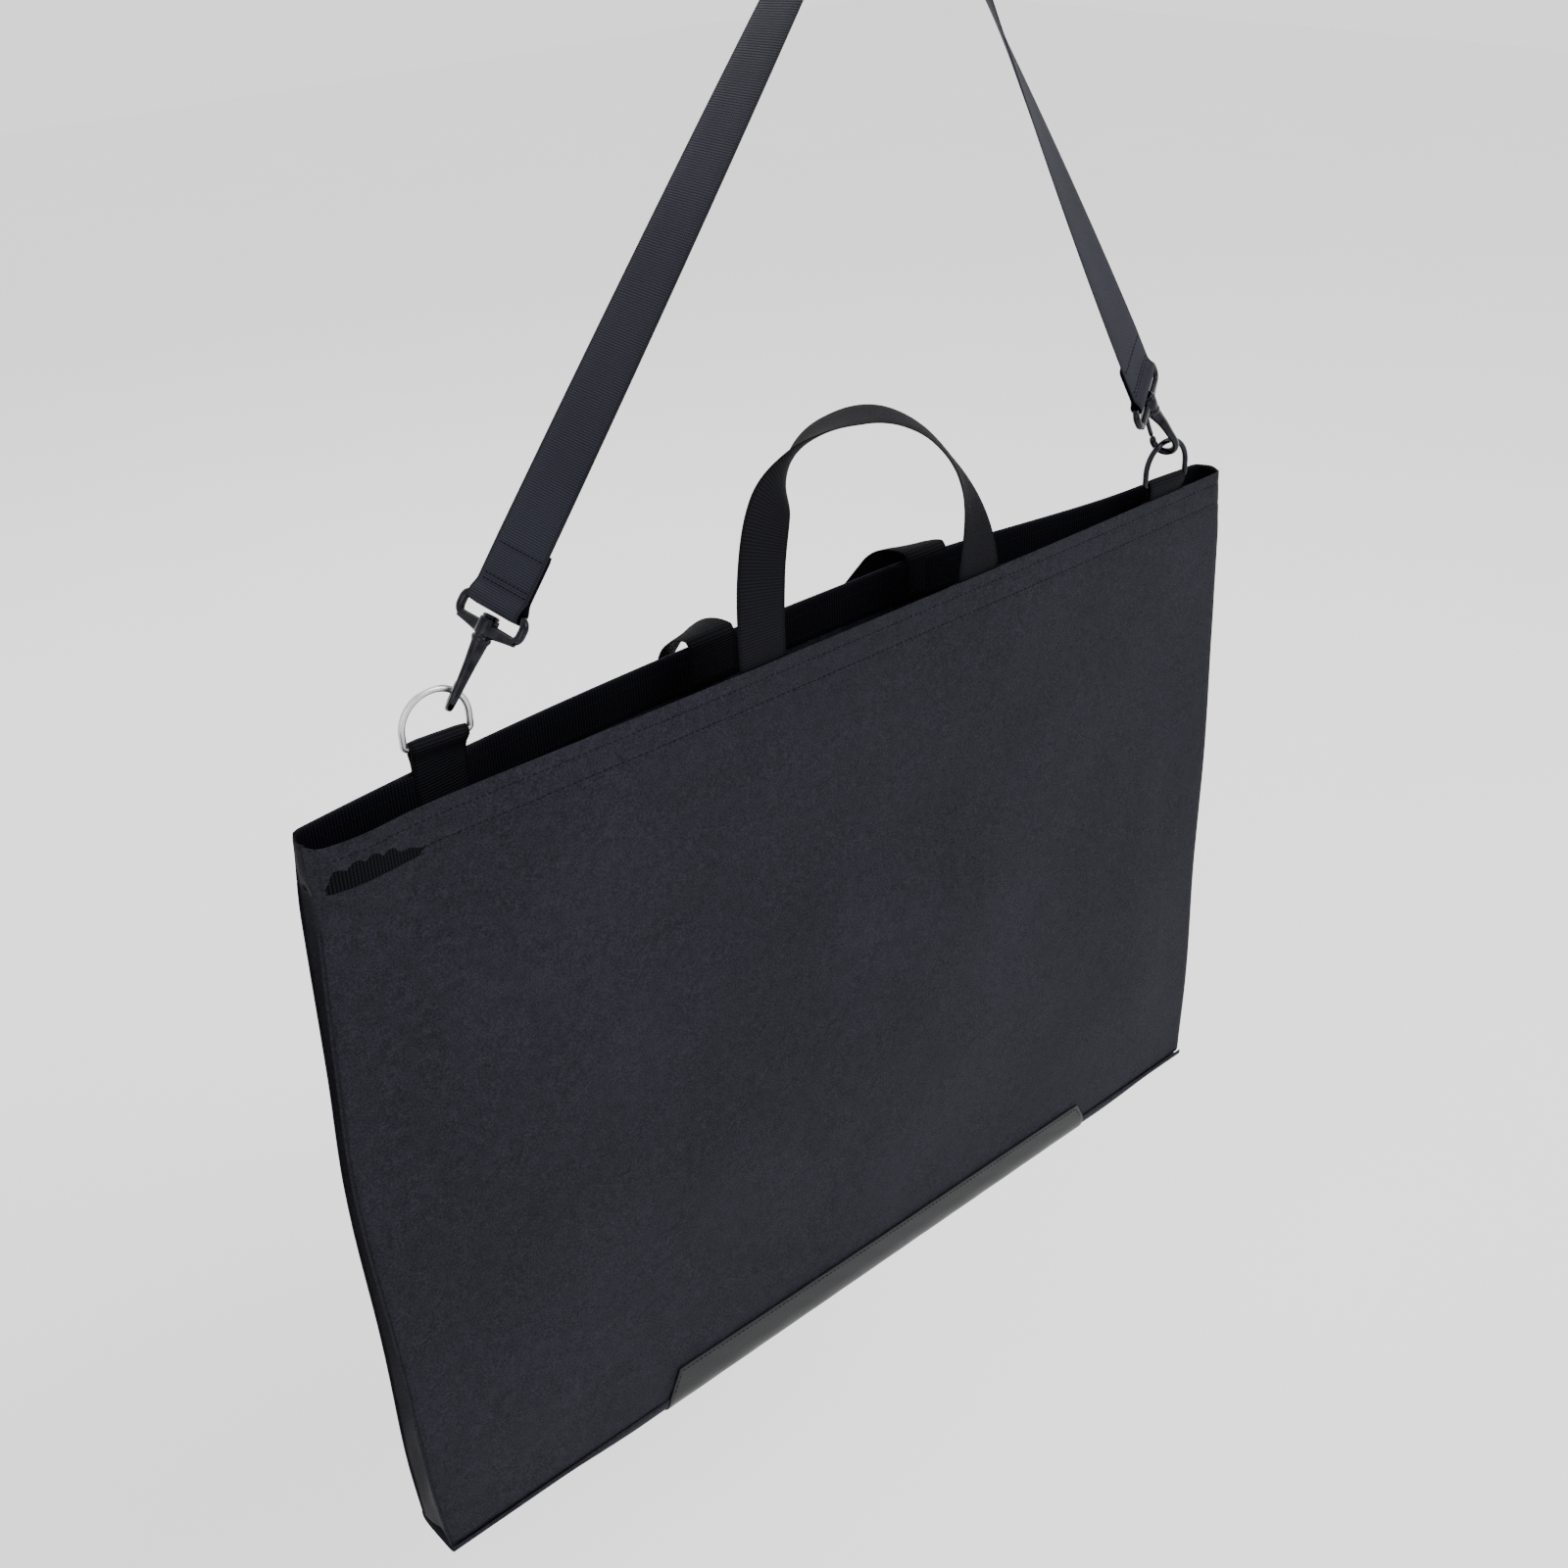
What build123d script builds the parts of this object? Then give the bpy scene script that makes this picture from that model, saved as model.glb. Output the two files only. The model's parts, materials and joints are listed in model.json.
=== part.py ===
from build123d import *
import os
from collections import namedtuple
from math import acos, asin, atan2, cos, degrees, hypot, pi, radians, sin, sqrt

os.makedirs("parts", exist_ok=True)

# ---------------------------------------------------------------------------
# Soft portfolio case, open at the top, hanging from its shoulder strap.
# Millimetres, +Z up, +X to the right seen from the front, the front faces -Y.
# The origin is the hang point: the underside of the strap, at its highest place.
# The case's own pieces are drawn with z = 0 at the top edge and x = 0 in the middle
# of the panels, and CASE_PLACE then carries them below the hang point.
# ---------------------------------------------------------------------------

# Case body
CASE_WIDTH = 660.0            # at the top edge
CASE_HEIGHT = 483.0
BASE_SAG = 17.0               # how far the base hangs below the panels' lower edges, under the patch
END_SAG = 7.0                 # and at its ends, where it is boxier
SAG_REACH = 225.0             # the base keeps its full sag this far each side of the middle
CLOTH = 1.2                   # coated fabric
EDGE_DROP = 390.0             # top edge of the case below the hang point
CASE_X = -44.0                # middle of the case from the hang point, along X
HANDLE_SHIFT = 17.3           # middle of the handles from the middle of the case
PATCH_SHIFT = 20.5            # middle of the base patch

# Webbing and hem
WEB_WIDTH = 32.0              # handles and ring tabs
FACING_WIDTH = 25.0           # narrower webbing inside the mouth
WEB_THICK = 1.3
HEM_GAP = 2.8                 # between panel and facing, where the webbing ends are sewn in
FOOT_DEPTH = 24.0             # how far handles and tabs run down inside the hem

# Handles
HANDLE_SPAN = 165.0           # between the middles of the two feet
HANDLE_RISE = 107.5
HANDLE_POWER = 2.3            # 2 is an ellipse, more is squarer
FRONT_TWIST = [               # degrees the webbing has turned by each part of the way along it
    (0, 0), (0.12, 0), (0.24, 11), (0.32, 47), (0.4, 82), (0.5, 108), (0.6, 121), (0.7, 125), (0.82, 131),
    (1, 180),
]
REAR_TWIST = [(0, 0), (0.15, -45), (0.5, -90), (0.85, -45), (1, 0)]
FRONT_LEAN = 24.0             # degrees the front handle has curled back at its crest
FOLD_Z = 3.0                  # height of the fold lines above the top edge
REAR_START = 66.0             # degrees from upright where the rear handle leaves its fold
REAR_HANG = 168.0             # and where it hangs, behind the case
REAR_BEND = 15.0              # radius of the bend between them
REAR_SKEW = 0.5               # the rear handle hangs this far to the left for each unit down
FOLD_GAP = 1.6                # clear of the fold line, on the foot's side
FOLD_START = 0.4              # clear of the fold line, on the handle's side

# D-rings
RING_X = {-1: -246.0, 1: 273.0}       # left and right bar, from the middle of the case
RING_BAR_Z = {-1: 13.0, 1: 8.0}       # bar above the top edge
RING_WIRE = 3.5
RING_WIDTH = 36.4             # between wire centres
RING_SIDE = 8.0               # straight side, from bar to round top
RING_CORNER = 2.0
LOOP_PLAY = 0.08              # bars in their webbing loops
LOOP_NECK = 2.0               # the webbing closes up this far below its loop
HOOK_ON_RING = {-1: 45.0, 1: 10.0}    # degrees from the top of each ring to where its hook pulls

# Shoulder strap
STRAP_WIDTH = 38.0
STRAP_THICK = 1.6
PEG_RADIUS = 28.0             # what the strap hangs over
STRAP_END = 32.0              # doubled and sewn length above each bail
APEX_TWIST = 22.0             # degrees, width of the strap from +Y towards +X
LEFT_TWIST = -7.5
RIGHT_TWIST = 69.0

# Swivel snap hooks
BAIL_WIDTH = 50.0
BAIL_BAR = 4.0                # round wire
BAIL_CORNER = 4.5
BAIL_RISE = 11.4              # between the middles of the two bars
BAIL_WING = (1.7, 4.2)        # plate beside the hub: half height at its ends, depth at the hub
HUB_RADIUS = 5.0
HUB_HALF = 4.5
HUB_BORE = 3.0
POST_RADIUS = 2.9             # the hook's post turns in the hub, between its head and its collar
HEAD_RADIUS = 4.6
HEAD_HEIGHT = 1.4
COLLAR_RADIUS = 5.0
COLLAR_HEIGHT = 2.0
COLLAR_FOOT = 6.5             # below the lower bar, where the hook's shoulder starts
HOOK_REACH = 35.0             # lower bar to the middle of the hook's round bottom
HOOK_INNER = 4.8              # radius inside the round bottom
HOOK_WALL = 3.8
HOOK_POINT = 2.0              # extra length of the hook's rounded tip
HOOK_THICK_TOP = 9.0
HOOK_THICK_TIP = 4.0
WIRE_DROP = -0.5              # ring wire below the middle of the round bottom
GATE_PIVOT = (4.8, 9.9)       # across and down from the lower bar
GATE_TIP = 27.4
GATE_HALF = 1.5
PIN_RADIUS = 0.8
LEFT_SWIVEL = 35.0            # degrees from +Y, about the hook's own length
RIGHT_SWIVEL = 25.0

# Base patch
PATCH_LENGTH = 387.0
PATCH_FLAP = 25.0
PATCH_THICK = 0.9

# Shape of the case at each height: half width, half depth at the ends, half depth in the
# middle of the front and of the back, and how far the end gussets fold in
Level = namedtuple("Level", "z half end front back fold")
HEM_HEIGHT = 36.0
PANEL_FOOT = BASE_SAG - CASE_HEIGHT
LEVELS = [
    Level(0.0, 330.0, 9.0, 14.5, 34.0, 3.0),
    Level(-HEM_HEIGHT, 333.0, 9.0, 14.5, 34.0, 3.0),
    Level(-130.0, 340.0, 6.5, 12.0, 24.0, 7.0),
    Level(-200.0, 342.0, 7.0, 13.0, 22.0, 7.0),
    Level(-300.0, 339.0, 10.0, 16.0, 19.0, 5.0),
    Level(PANEL_FOOT, 331.0, 17.0, 17.6, 17.6, 1.0),
]
TOP = LEVELS[0]
LOW = LEVELS[-1]

HALF = CASE_WIDTH / 2
CASE_PLACE = Pos(CASE_X, 0, -EDGE_DROP)
PEG_CENTRE = Vector(0, 0, -PEG_RADIUS)
PARTS = {}


def keep(node, shape):
    """Store a finished sub-part under its node name."""
    shape.label = node
    PARTS[node] = shape
    return shape


def crescent(z, end, middle, thick, half_width):
    """Face at height z: a thin arc from one end to the other, `thick` deep on its inner side."""
    sign = 1 if middle > 0 else -1
    inner = thick * sign
    outer_arc = ThreePointArc((-half_width, end), (0, middle), (half_width, end))
    inner_arc = ThreePointArc((-half_width, end - inner), (0, middle - inner), (half_width, end - inner))
    edges = [outer_arc, inner_arc, Line(outer_arc @ 0, inner_arc @ 0), Line(outer_arc @ 1, inner_arc @ 1)]
    return Pos(0, 0, z) * make_face(edges)


def end_crescent(z, half_width, half_depth, inset, thick, side):
    """Face at height z: the folded-in end of the case, from its front corner to its back one."""
    x_end = side * half_width
    x_mid = side * (half_width - inset)
    step = side * thick
    outer_arc = ThreePointArc((x_end, -half_depth), (x_mid, 0), (x_end, half_depth))
    inner_arc = ThreePointArc((x_end - step, -half_depth), (x_mid - step, 0), (x_end - step, half_depth))
    edges = [outer_arc, inner_arc, Line(outer_arc @ 0, inner_arc @ 0), Line(outer_arc @ 1, inner_arc @ 1)]
    return Pos(0, 0, z) * make_face(edges)


def edge_y(side, x):
    """Outer face of the front (-1) or back (+1) panel at the top edge, and its angle about Z."""
    middle = TOP.front if side < 0 else TOP.back
    sagitta = middle - TOP.end
    radius = (HALF ** 2 + sagitta ** 2) / (2 * sagitta)
    return side * (middle - radius + sqrt(radius ** 2 - x ** 2)), degrees(asin(-side * x / radius))


def hem_middle(side, x):
    """Middle of the gap between panel and facing at the top edge."""
    y, angle = edge_y(side, x)
    return y - side * (CLOTH + HEM_GAP / 2), angle


# ---------------------------------------------------------------------------
# Case body
# ---------------------------------------------------------------------------

def panel(side):
    sections = []
    for level in LEVELS:
        middle = level.front if side < 0 else level.back
        sections.append(crescent(level.z, side * level.end, side * middle, CLOTH, level.half))
    return loft(sections, ruled=True)


def gusset(side):
    sections = []
    for level in LEVELS:
        depth = level.end - CLOTH - 0.05
        sections.append(end_crescent(level.z, level.half, depth, level.fold, CLOTH, side))
    return loft(sections, ruled=True)


def trough_body(half_depth, less, half_length):
    """Rounded underside, filled in: its arcs run from front to back, deeper in the middle."""
    sections = []
    for x, sag in ((-half_length, END_SAG), (-SAG_REACH, BASE_SAG), (SAG_REACH, BASE_SAG), (half_length, END_SAG)):
        arc = ThreePointArc((-half_depth, 0), (0, less - sag), (half_depth, 0))
        sections.append(Plane.YZ.offset(x) * make_face([arc, Line(arc @ 0, arc @ 1)]))
    return loft(sections, ruled=True)


def base_gusset():
    """Cloth under the case, between the two panels."""
    outer = trough_body(LOW.end, 0, LOW.half)
    hollow = trough_body(LOW.end - CLOTH, CLOTH, LOW.half - CLOTH)
    return Pos(0, 0, PANEL_FOOT) * (outer - hollow)


def base_patch():
    """Reinforcement wrapped under the base: front flap, trough and back flap in one strip."""
    foot = LOW.front + 0.3
    flare = 0.6
    sag = BASE_SAG + 0.3
    inner = ThreePointArc((-foot, 0), (0, -sag), (foot, 0))
    outer = ThreePointArc((-foot - PATCH_THICK, 0), (0, -sag - PATCH_THICK), (foot + PATCH_THICK, 0))
    edges = [inner, outer]
    for side in (-1, 1):
        top_in = (side * (foot + flare), PATCH_FLAP)
        top_out = (side * (foot + flare + PATCH_THICK), PATCH_FLAP)
        edges.append(Line((side * foot, 0), top_in))
        edges.append(Line(top_in, top_out))
        edges.append(Line(top_out, (side * (foot + PATCH_THICK), 0)))
    strip = extrude(Plane.YZ.offset(PATCH_SHIFT - PATCH_LENGTH / 2) * make_face(edges), PATCH_LENGTH)
    return Pos(0, 0, PANEL_FOOT) * strip


def facing(side):
    """Webbing sewn inside the mouth, along the front or the back panel."""
    stack = CLOTH + HEM_GAP
    middle = TOP.front if side < 0 else TOP.back
    face = crescent(-FACING_WIDTH, side * (TOP.end - stack), side * (middle - stack), WEB_THICK, HALF - 5)
    return extrude(face, FACING_WIDTH - 0.6)


def end_facing(side):
    """The same webbing where it turns round the end of the mouth."""
    gusset_depth = TOP.end - CLOTH - 0.05
    half_depth = gusset_depth - HEM_GAP - 0.1
    inset = TOP.fold * (half_depth / gusset_depth) ** 2
    half_width = HALF - CLOTH - 0.15 - TOP.fold + inset
    face = end_crescent(-FACING_WIDTH, half_width, half_depth, inset, WEB_THICK, side)
    return extrude(face, FACING_WIDTH - 0.6)


for name, side in (("front", -1), ("back", 1)):
    keep(f"{name}_panel", CASE_PLACE * panel(side))
for name, side in (("left", -1), ("right", 1)):
    keep(f"{name}_gusset", CASE_PLACE * gusset(side))
    keep(f"{name}_end_facing", CASE_PLACE * end_facing(side))
keep("front_facing", CASE_PLACE * facing(-1))
keep("rear_facing", CASE_PLACE * facing(1))
keep("base_gusset", CASE_PLACE * base_gusset())
keep("base_patch", CASE_PLACE * base_patch())


# ---------------------------------------------------------------------------
# Webbing bands: a flat strip lofted through short straight spans
# ---------------------------------------------------------------------------

def band_section(centre, along, across, width, thick):
    """Rectangle of webbing at `centre`, square to `along`, its width towards `across`."""
    plane = Plane(origin=centre, x_dir=across, z_dir=along)
    return plane * Rectangle(width, thick)


def square_to(along, wanted):
    """The part of `wanted` that is square to `along`, at unit length."""
    return (wanted - along * wanted.dot(along)).normalized()


def signed_power(value, power):
    return (1 if value >= 0 else -1) * abs(value) ** power


def turned_by(twist, t):
    """Degrees a handle has turned at t, between the given places."""
    for (t0, turn0), (t1, turn1) in zip(twist, twist[1:]):
        if t <= t1:
            return turn0 + (turn1 - turn0) * (t - t0) / (t1 - t0)


def standing(height):
    """Sideways shift, depth, height and lean of a handle that stands up and curls back a little."""
    radius = HANDLE_RISE / radians(FRONT_LEAN)
    lean = height / radius
    return 0.0, radius * (1 - cos(lean)), radius * sin(lean), lean


def hanging(height):
    """The same for a handle that bends over backwards and hangs behind the case."""
    start = radians(REAR_START)
    end = radians(REAR_HANG)
    turned = min(height / REAR_BEND, end - start)
    lean = start + turned
    rest = height - turned * REAR_BEND
    y = REAR_BEND * (cos(start) - cos(lean)) + rest * sin(lean)
    z = REAR_BEND * (sin(lean) - sin(start)) + rest * cos(lean)
    return -REAR_SKEW * height, y, z, lean


def handle_section(t, drape, twist):
    """Cross-section of a handle, t from 0 (left foot) to 1 (right foot), turning as it climbs."""
    turn = pi * t
    x = -HANDLE_SPAN / 2 * signed_power(cos(turn), 2 / HANDLE_POWER)
    height = FOLD_START + HANDLE_RISE * abs(sin(turn)) ** (2 / HANDLE_POWER)
    skew, y, z, lean = drape(height)
    if t in (0, 1):
        run, climb = 0.0, 1.0 - 2.0 * t
    else:
        run = HANDLE_SPAN / 2 * abs(cos(turn)) ** (2 / HANDLE_POWER - 1) * sin(turn)
        climb = HANDLE_RISE * sin(turn) ** (2 / HANDLE_POWER - 1) * cos(turn)
        run, climb = run / hypot(run, climb), climb / hypot(run, climb)
    upward = Vector(0, sin(lean), cos(lean))
    normal = Vector(0, cos(lean), -sin(lean))
    sideways = Vector(1, 0, 0)
    along = sideways * run + upward * climb
    flat = upward * run - sideways * climb
    slant = radians(turned_by(twist, t))
    across = flat * cos(slant) - normal * sin(slant)
    return band_section(Vector(x + skew, y, z), along, across, WEB_WIDTH, WEB_THICK)


def handle_band(drape, twist):
    """Arch of webbing that turns about its own length from each foot to its crest."""
    steps = 28
    return loft([handle_section(i / steps, drape, twist) for i in range(steps + 1)], ruled=True)


def handle_feet(side, top):
    """Two webbing ends, turned up double, standing in the hem gap."""
    feet = []
    for end in (-1, 1):
        x = HANDLE_SHIFT + end * HANDLE_SPAN / 2
        y, angle = hem_middle(side, x)
        foot = Box(WEB_WIDTH, 2 * WEB_THICK, top + FOOT_DEPTH, align=(Align.CENTER, Align.CENTER, Align.MIN))
        feet.append(Pos(x, y, -FOOT_DEPTH) * Rot(0, 0, angle) * foot)
    return Compound(children=feet)


def handle_y(side):
    """Fold line of a handle: the mean of its two feet."""
    return sum(hem_middle(side, HANDLE_SHIFT + end * HANDLE_SPAN / 2)[0] for end in (-1, 1)) / 2


for name, side, drape, twist in (("front", -1, standing, FRONT_TWIST), ("rear", 1, hanging, REAR_TWIST)):
    fold = Pos(CASE_X + HANDLE_SHIFT, handle_y(side), FOLD_Z - EDGE_DROP)
    keep(f"{name}_handle", fold * handle_band(drape, twist))
    keep(f"{name}_handle_feet", CASE_PLACE * handle_feet(side, FOLD_Z - FOLD_GAP))


# ---------------------------------------------------------------------------
# D-rings, tabs, snap hooks and strap, one set for each end of the case
# ---------------------------------------------------------------------------

def webbing_loop(hole, thick, width):
    """Webbing folded round a bar: X along the bar, bar at the origin, closing up below it."""
    outer = hole + thick
    close = Pos(0, -outer - LOOP_NECK) * Rectangle(2 * thick, 0.5, align=(Align.CENTER, Align.MIN))
    profile = make_hull((Circle(outer) + close).edges()) - Circle(hole)
    return extrude(Plane.YZ.offset(-width / 2) * profile, width)


def ring_tab(turn, height):
    """Doubled webbing from the hem to the bar `height` above it, turned by `turn` degrees on the way."""
    hole = RING_WIRE / 2 + LOOP_PLAY
    closed = -hole - WEB_THICK - LOOP_NECK
    foot = Pos(0, 0, -height - FOOT_DEPTH) * Rot(0, 0, turn) * Rectangle(WEB_WIDTH, 2 * WEB_THICK)
    hem = Pos(0, 0, -height) * Rot(0, 0, turn) * Rectangle(WEB_WIDTH, 2 * WEB_THICK)
    inset = 0.06
    neck = Pos(0, 0, closed + 0.4) * Rectangle(WEB_WIDTH - inset, 2 * WEB_THICK - inset)
    return webbing_loop(hole, WEB_THICK, WEB_WIDTH) + loft([foot, hem, neck], ruled=True)


def wire_path(width, height, corner, top_side):
    """Closed outline in the XZ plane, its straight bar along X through the origin."""
    half = width / 2
    near = corner * (1 - sqrt(0.5))
    bar = Line((corner - half, 0), (half - corner, 0))
    edges = [bar]
    edges.append(ThreePointArc((half - corner, 0), (half - near, near), (half, corner)))
    if top_side is None:
        edges.append(Line((half, corner), (half, height - corner)))
        edges.append(ThreePointArc((half, height - corner), (half - near, height - near), (half - corner, height)))
        edges.append(Line((half - corner, height), (corner - half, height)))
        edges.append(ThreePointArc((corner - half, height), (near - half, height - near), (-half, height - corner)))
        edges.append(Line((-half, height - corner), (-half, corner)))
    else:
        edges.append(Line((half, corner), (half, top_side)))
        edges.append(ThreePointArc((half, top_side), (0, top_side + half), (-half, top_side)))
        edges.append(Line((-half, top_side), (-half, corner)))
    edges.append(ThreePointArc((-half, corner), (near - half, near), (corner - half, 0)))
    return Plane.XZ * Wire(edges)


def wire_loop(path, radius):
    """Round wire along a closed path that starts along X at the origin's height."""
    start = path @ 0
    return sweep(Plane(origin=start, z_dir=path % 0) * Circle(radius), path=path)


def d_ring():
    """Closed wire ring in the XZ plane, its straight bar along X through the origin."""
    return wire_loop(wire_path(RING_WIDTH, None, RING_CORNER, RING_SIDE), RING_WIRE / 2)


def bail():
    """Loop the strap is sewn to: X along its bars, Z up the strap, lower bar at the origin."""
    frame = wire_loop(wire_path(BAIL_WIDTH - BAIL_BAR, BAIL_RISE, BAIL_CORNER, None), BAIL_BAR / 2)
    reach = BAIL_WIDTH / 2 - BAIL_CORNER
    wing = Polyline((-reach, -BAIL_WING[0]), (-HUB_RADIUS + 1, -BAIL_WING[1]), (HUB_RADIUS - 1, -BAIL_WING[1]),
                    (reach, -BAIL_WING[0]), (reach, BAIL_WING[0]), (-reach, BAIL_WING[0]), close=True)
    wings = extrude(Plane.XZ * make_face(wing), BAIL_BAR / 2 - 0.3, both=True)
    hub = Cylinder(HUB_RADIUS, 2 * HUB_HALF)
    bore = Cylinder(HUB_BORE, 2 * HUB_HALF + 1)
    return frame + wings + hub - bore


def hook_outline():
    """Side view of the hook below its collar: x across, y up the hook."""
    outer = HOOK_INNER + HOOK_WALL
    spine_top = (-COLLAR_RADIUS, -COLLAR_FOOT)
    spine_low = (-outer, -HOOK_REACH)
    nose_low = (outer, -HOOK_REACH)
    nose_high = (outer - 0.6, -GATE_TIP - 1.4)
    nose_tip = (HOOK_INNER + 0.3, -GATE_TIP - 0.4)
    nose_inner = (HOOK_INNER, -GATE_TIP - 2.0)
    inner_right = (HOOK_INNER, -HOOK_REACH)
    inner_bottom = (0, -HOOK_REACH - HOOK_INNER)
    inner_left = (-HOOK_INNER, -HOOK_REACH)
    spine_inner = (-1.6, -12.5)
    throat = (2.2, -11.5)
    gate_side = (2.2, -8.2)
    shoulder = (6.4, -8.2)
    top_right = (COLLAR_RADIUS, -COLLAR_FOOT)
    return make_face([
        Line(spine_top, spine_low),
        EllipticalCenterArc((0, -HOOK_REACH), outer, outer + HOOK_POINT, start_angle=180, arc_size=180),
        Line(nose_low, nose_high),
        Line(nose_high, nose_tip),
        Line(nose_tip, nose_inner),
        Line(nose_inner, inner_right),
        ThreePointArc(inner_right, inner_bottom, inner_left),
        Line(inner_left, spine_inner),
        Line(spine_inner, throat),
        Line(throat, gate_side),
        Line(gate_side, shoulder),
        Line(shoulder, top_right),
        Line(top_right, spine_top),
    ])


def taper():
    """Wedge that thins the hook from its collar to its tip."""
    low = -HOOK_REACH - HOOK_INNER - HOOK_WALL - HOOK_POINT
    side = Polyline((-HOOK_THICK_TOP / 2, -5), (HOOK_THICK_TOP / 2, -5), (HOOK_THICK_TIP / 2, low - 1),
                    (-HOOK_THICK_TIP / 2, low - 1), close=True)
    return extrude(Plane.YZ.offset(-20) * make_face(side), 40)


def hook():
    """Hook body with its collar and the swivel post that turns in the bail's hub."""
    body = extrude(Plane.XZ * hook_outline(), 6, both=True) & taper()
    upwards = (Align.CENTER, Align.CENTER, Align.MIN)
    head_foot = HUB_HALF + 0.4
    collar = Pos(0, 0, -COLLAR_FOOT - 0.3) * Cylinder(COLLAR_RADIUS, COLLAR_HEIGHT, align=upwards)
    post = Pos(0, 0, -COLLAR_FOOT) * Cylinder(POST_RADIUS, COLLAR_FOOT + head_foot + 0.5, align=upwards)
    head = Pos(0, 0, head_foot) * Cylinder(HEAD_RADIUS, HEAD_HEIGHT, align=upwards)
    ears = [Pos(GATE_PIVOT[0] + 0.2, y, -GATE_PIVOT[1]) * Box(4.6, 1.2, 5.0) for y in (-2.6, 2.6)]
    bore = Pos(GATE_PIVOT[0], 0, -GATE_PIVOT[1]) * Rot(90, 0, 0) * Cylinder(PIN_RADIUS, HOOK_THICK_TOP + 3)
    return body + collar + post + head + ears[0] + ears[1] - bore


def gate():
    """Sprung gate between the ears, from its pivot to the hook's nose."""
    x, down = GATE_PIVOT
    tip = (HOOK_INNER + 1.9, -GATE_TIP)
    blade = Polyline((x - 1.5, -down), (x + 1.5, -down), (tip[0] + 1.0, tip[1]), (tip[0] - 1.6, tip[1]), close=True)
    body = extrude(Plane.XZ * make_face(blade), GATE_HALF, both=True)
    eye = Pos(x, 0, -down) * Rot(90, 0, 0) * Cylinder(1.5, 2 * GATE_HALF)
    bore = Pos(x, 0, -down) * Rot(90, 0, 0) * Cylinder(PIN_RADIUS + 0.1, 8)
    return body + eye - bore


def gate_pin():
    x, down = GATE_PIVOT
    return Pos(x, 0, -down) * Rot(90, 0, 0) * Cylinder(PIN_RADIUS, 6.8)


def strap_loop():
    """Doubled end of the strap round the bail's upper bar: X along the bar, bar at the origin."""
    hole = BAIL_BAR / 2 + LOOP_PLAY
    closed = hole + STRAP_THICK + LOOP_NECK
    loop = Rot(180, 0, 0) * webbing_loop(hole, STRAP_THICK, STRAP_WIDTH)
    tail = Box(STRAP_WIDTH, 2 * STRAP_THICK, STRAP_END - closed + 0.2, align=(Align.CENTER, Align.CENTER, Align.MIN))
    return loop + Pos(0, 0, closed - 0.2) * tail


def twist_direction(angle):
    return Vector(sin(radians(angle)), cos(radians(angle)), 0)


def ring_bar(end, side):
    """Middle of a ring's bar, from the middle of the case's top edge, and the hem's angle there."""
    y, angle = hem_middle(side, RING_X[end])
    return Vector(RING_X[end], y, RING_BAR_Z[end]), angle


LEFT_BAR, LEFT_HEM_ANGLE = ring_bar(-1, 1)
RIGHT_BAR, RIGHT_HEM_ANGLE = ring_bar(1, -1)
SWING_LINE = (RIGHT_BAR - LEFT_BAR).normalized()      # both bars lie on it, so the case can swing
SWING_ANGLE = degrees(atan2(SWING_LINE.Y, SWING_LINE.X))


class Fitting:
    """Where the ring, hook, bail and strap leg of one end lie."""

    def __init__(self, end, bar, hem_angle, twist, swivel):
        self.end = end
        self.twist = twist
        self.hem_turn = hem_angle - SWING_ANGLE
        self.bar = bar + CASE_PLACE.position
        self.tab = Plane(origin=self.bar, x_dir=SWING_LINE, z_dir=square_to(SWING_LINE, Vector(0, 0, 1))).location
        pull = square_to(SWING_LINE, PEG_CENTRE - self.bar)
        self.ring = Plane(origin=self.bar, x_dir=SWING_LINE, z_dir=pull).location
        turn = radians(HOOK_ON_RING[end])
        inward = SWING_LINE * (-end * RING_WIDTH / 2 * sin(turn))
        self.grip = self.bar + inward + pull * (RING_SIDE + RING_WIDTH / 2 * cos(turn))
        self.find_touch()
        lower_bar = self.grip + self.up * (HOOK_REACH + WIRE_DROP)
        self.upper_bar = lower_bar + self.up * BAIL_RISE
        bail_dir = square_to(self.up, twist_direction(twist))
        self.bail = Plane(origin=lower_bar, x_dir=bail_dir, z_dir=self.up).location
        self.loop = Plane(origin=self.upper_bar, x_dir=bail_dir, z_dir=self.up).location
        across = square_to(self.up, Vector(0, 1, 0))
        rightward = across.cross(self.up)
        lateral = across * cos(radians(swivel)) + rightward * sin(radians(swivel)) * -end
        self.hook = Plane(origin=lower_bar, x_dir=lateral, z_dir=self.up).location

    def find_touch(self):
        """Where the straight strap from the hook meets the round that it hangs over."""
        radius = PEG_RADIUS + STRAP_THICK / 2
        dx = self.grip.X - PEG_CENTRE.X
        dz = self.grip.Z - PEG_CENTRE.Z
        turn = atan2(dz, dx) + self.end * acos(radius / hypot(dx, dz))
        self.touch_angle = turn % (2 * pi)
        self.touch = PEG_CENTRE + Vector(radius * cos(turn), 0, radius * sin(turn))
        self.up = (self.touch - self.grip).normalized()


LEFT = Fitting(-1, LEFT_BAR, LEFT_HEM_ANGLE, LEFT_TWIST, LEFT_SWIVEL)
RIGHT = Fitting(1, RIGHT_BAR, RIGHT_HEM_ANGLE, RIGHT_TWIST, RIGHT_SWIVEL)


def leg_sections(fit):
    """Strap from above one bail to where it meets the peg, turning evenly more near the top."""
    low = fit.upper_bar + fit.up * STRAP_END
    length = (fit.touch - low).length
    steps = 8
    sections = []
    for i in range(steps):
        t = i / steps
        angle = fit.twist + (APEX_TWIST - fit.twist) * (0.35 * t + 0.65 * t * t)
        across = square_to(fit.up, twist_direction(angle))
        sections.append(band_section(low + fit.up * (length * t), fit.up, across, STRAP_WIDTH, STRAP_THICK))
    return sections


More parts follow.
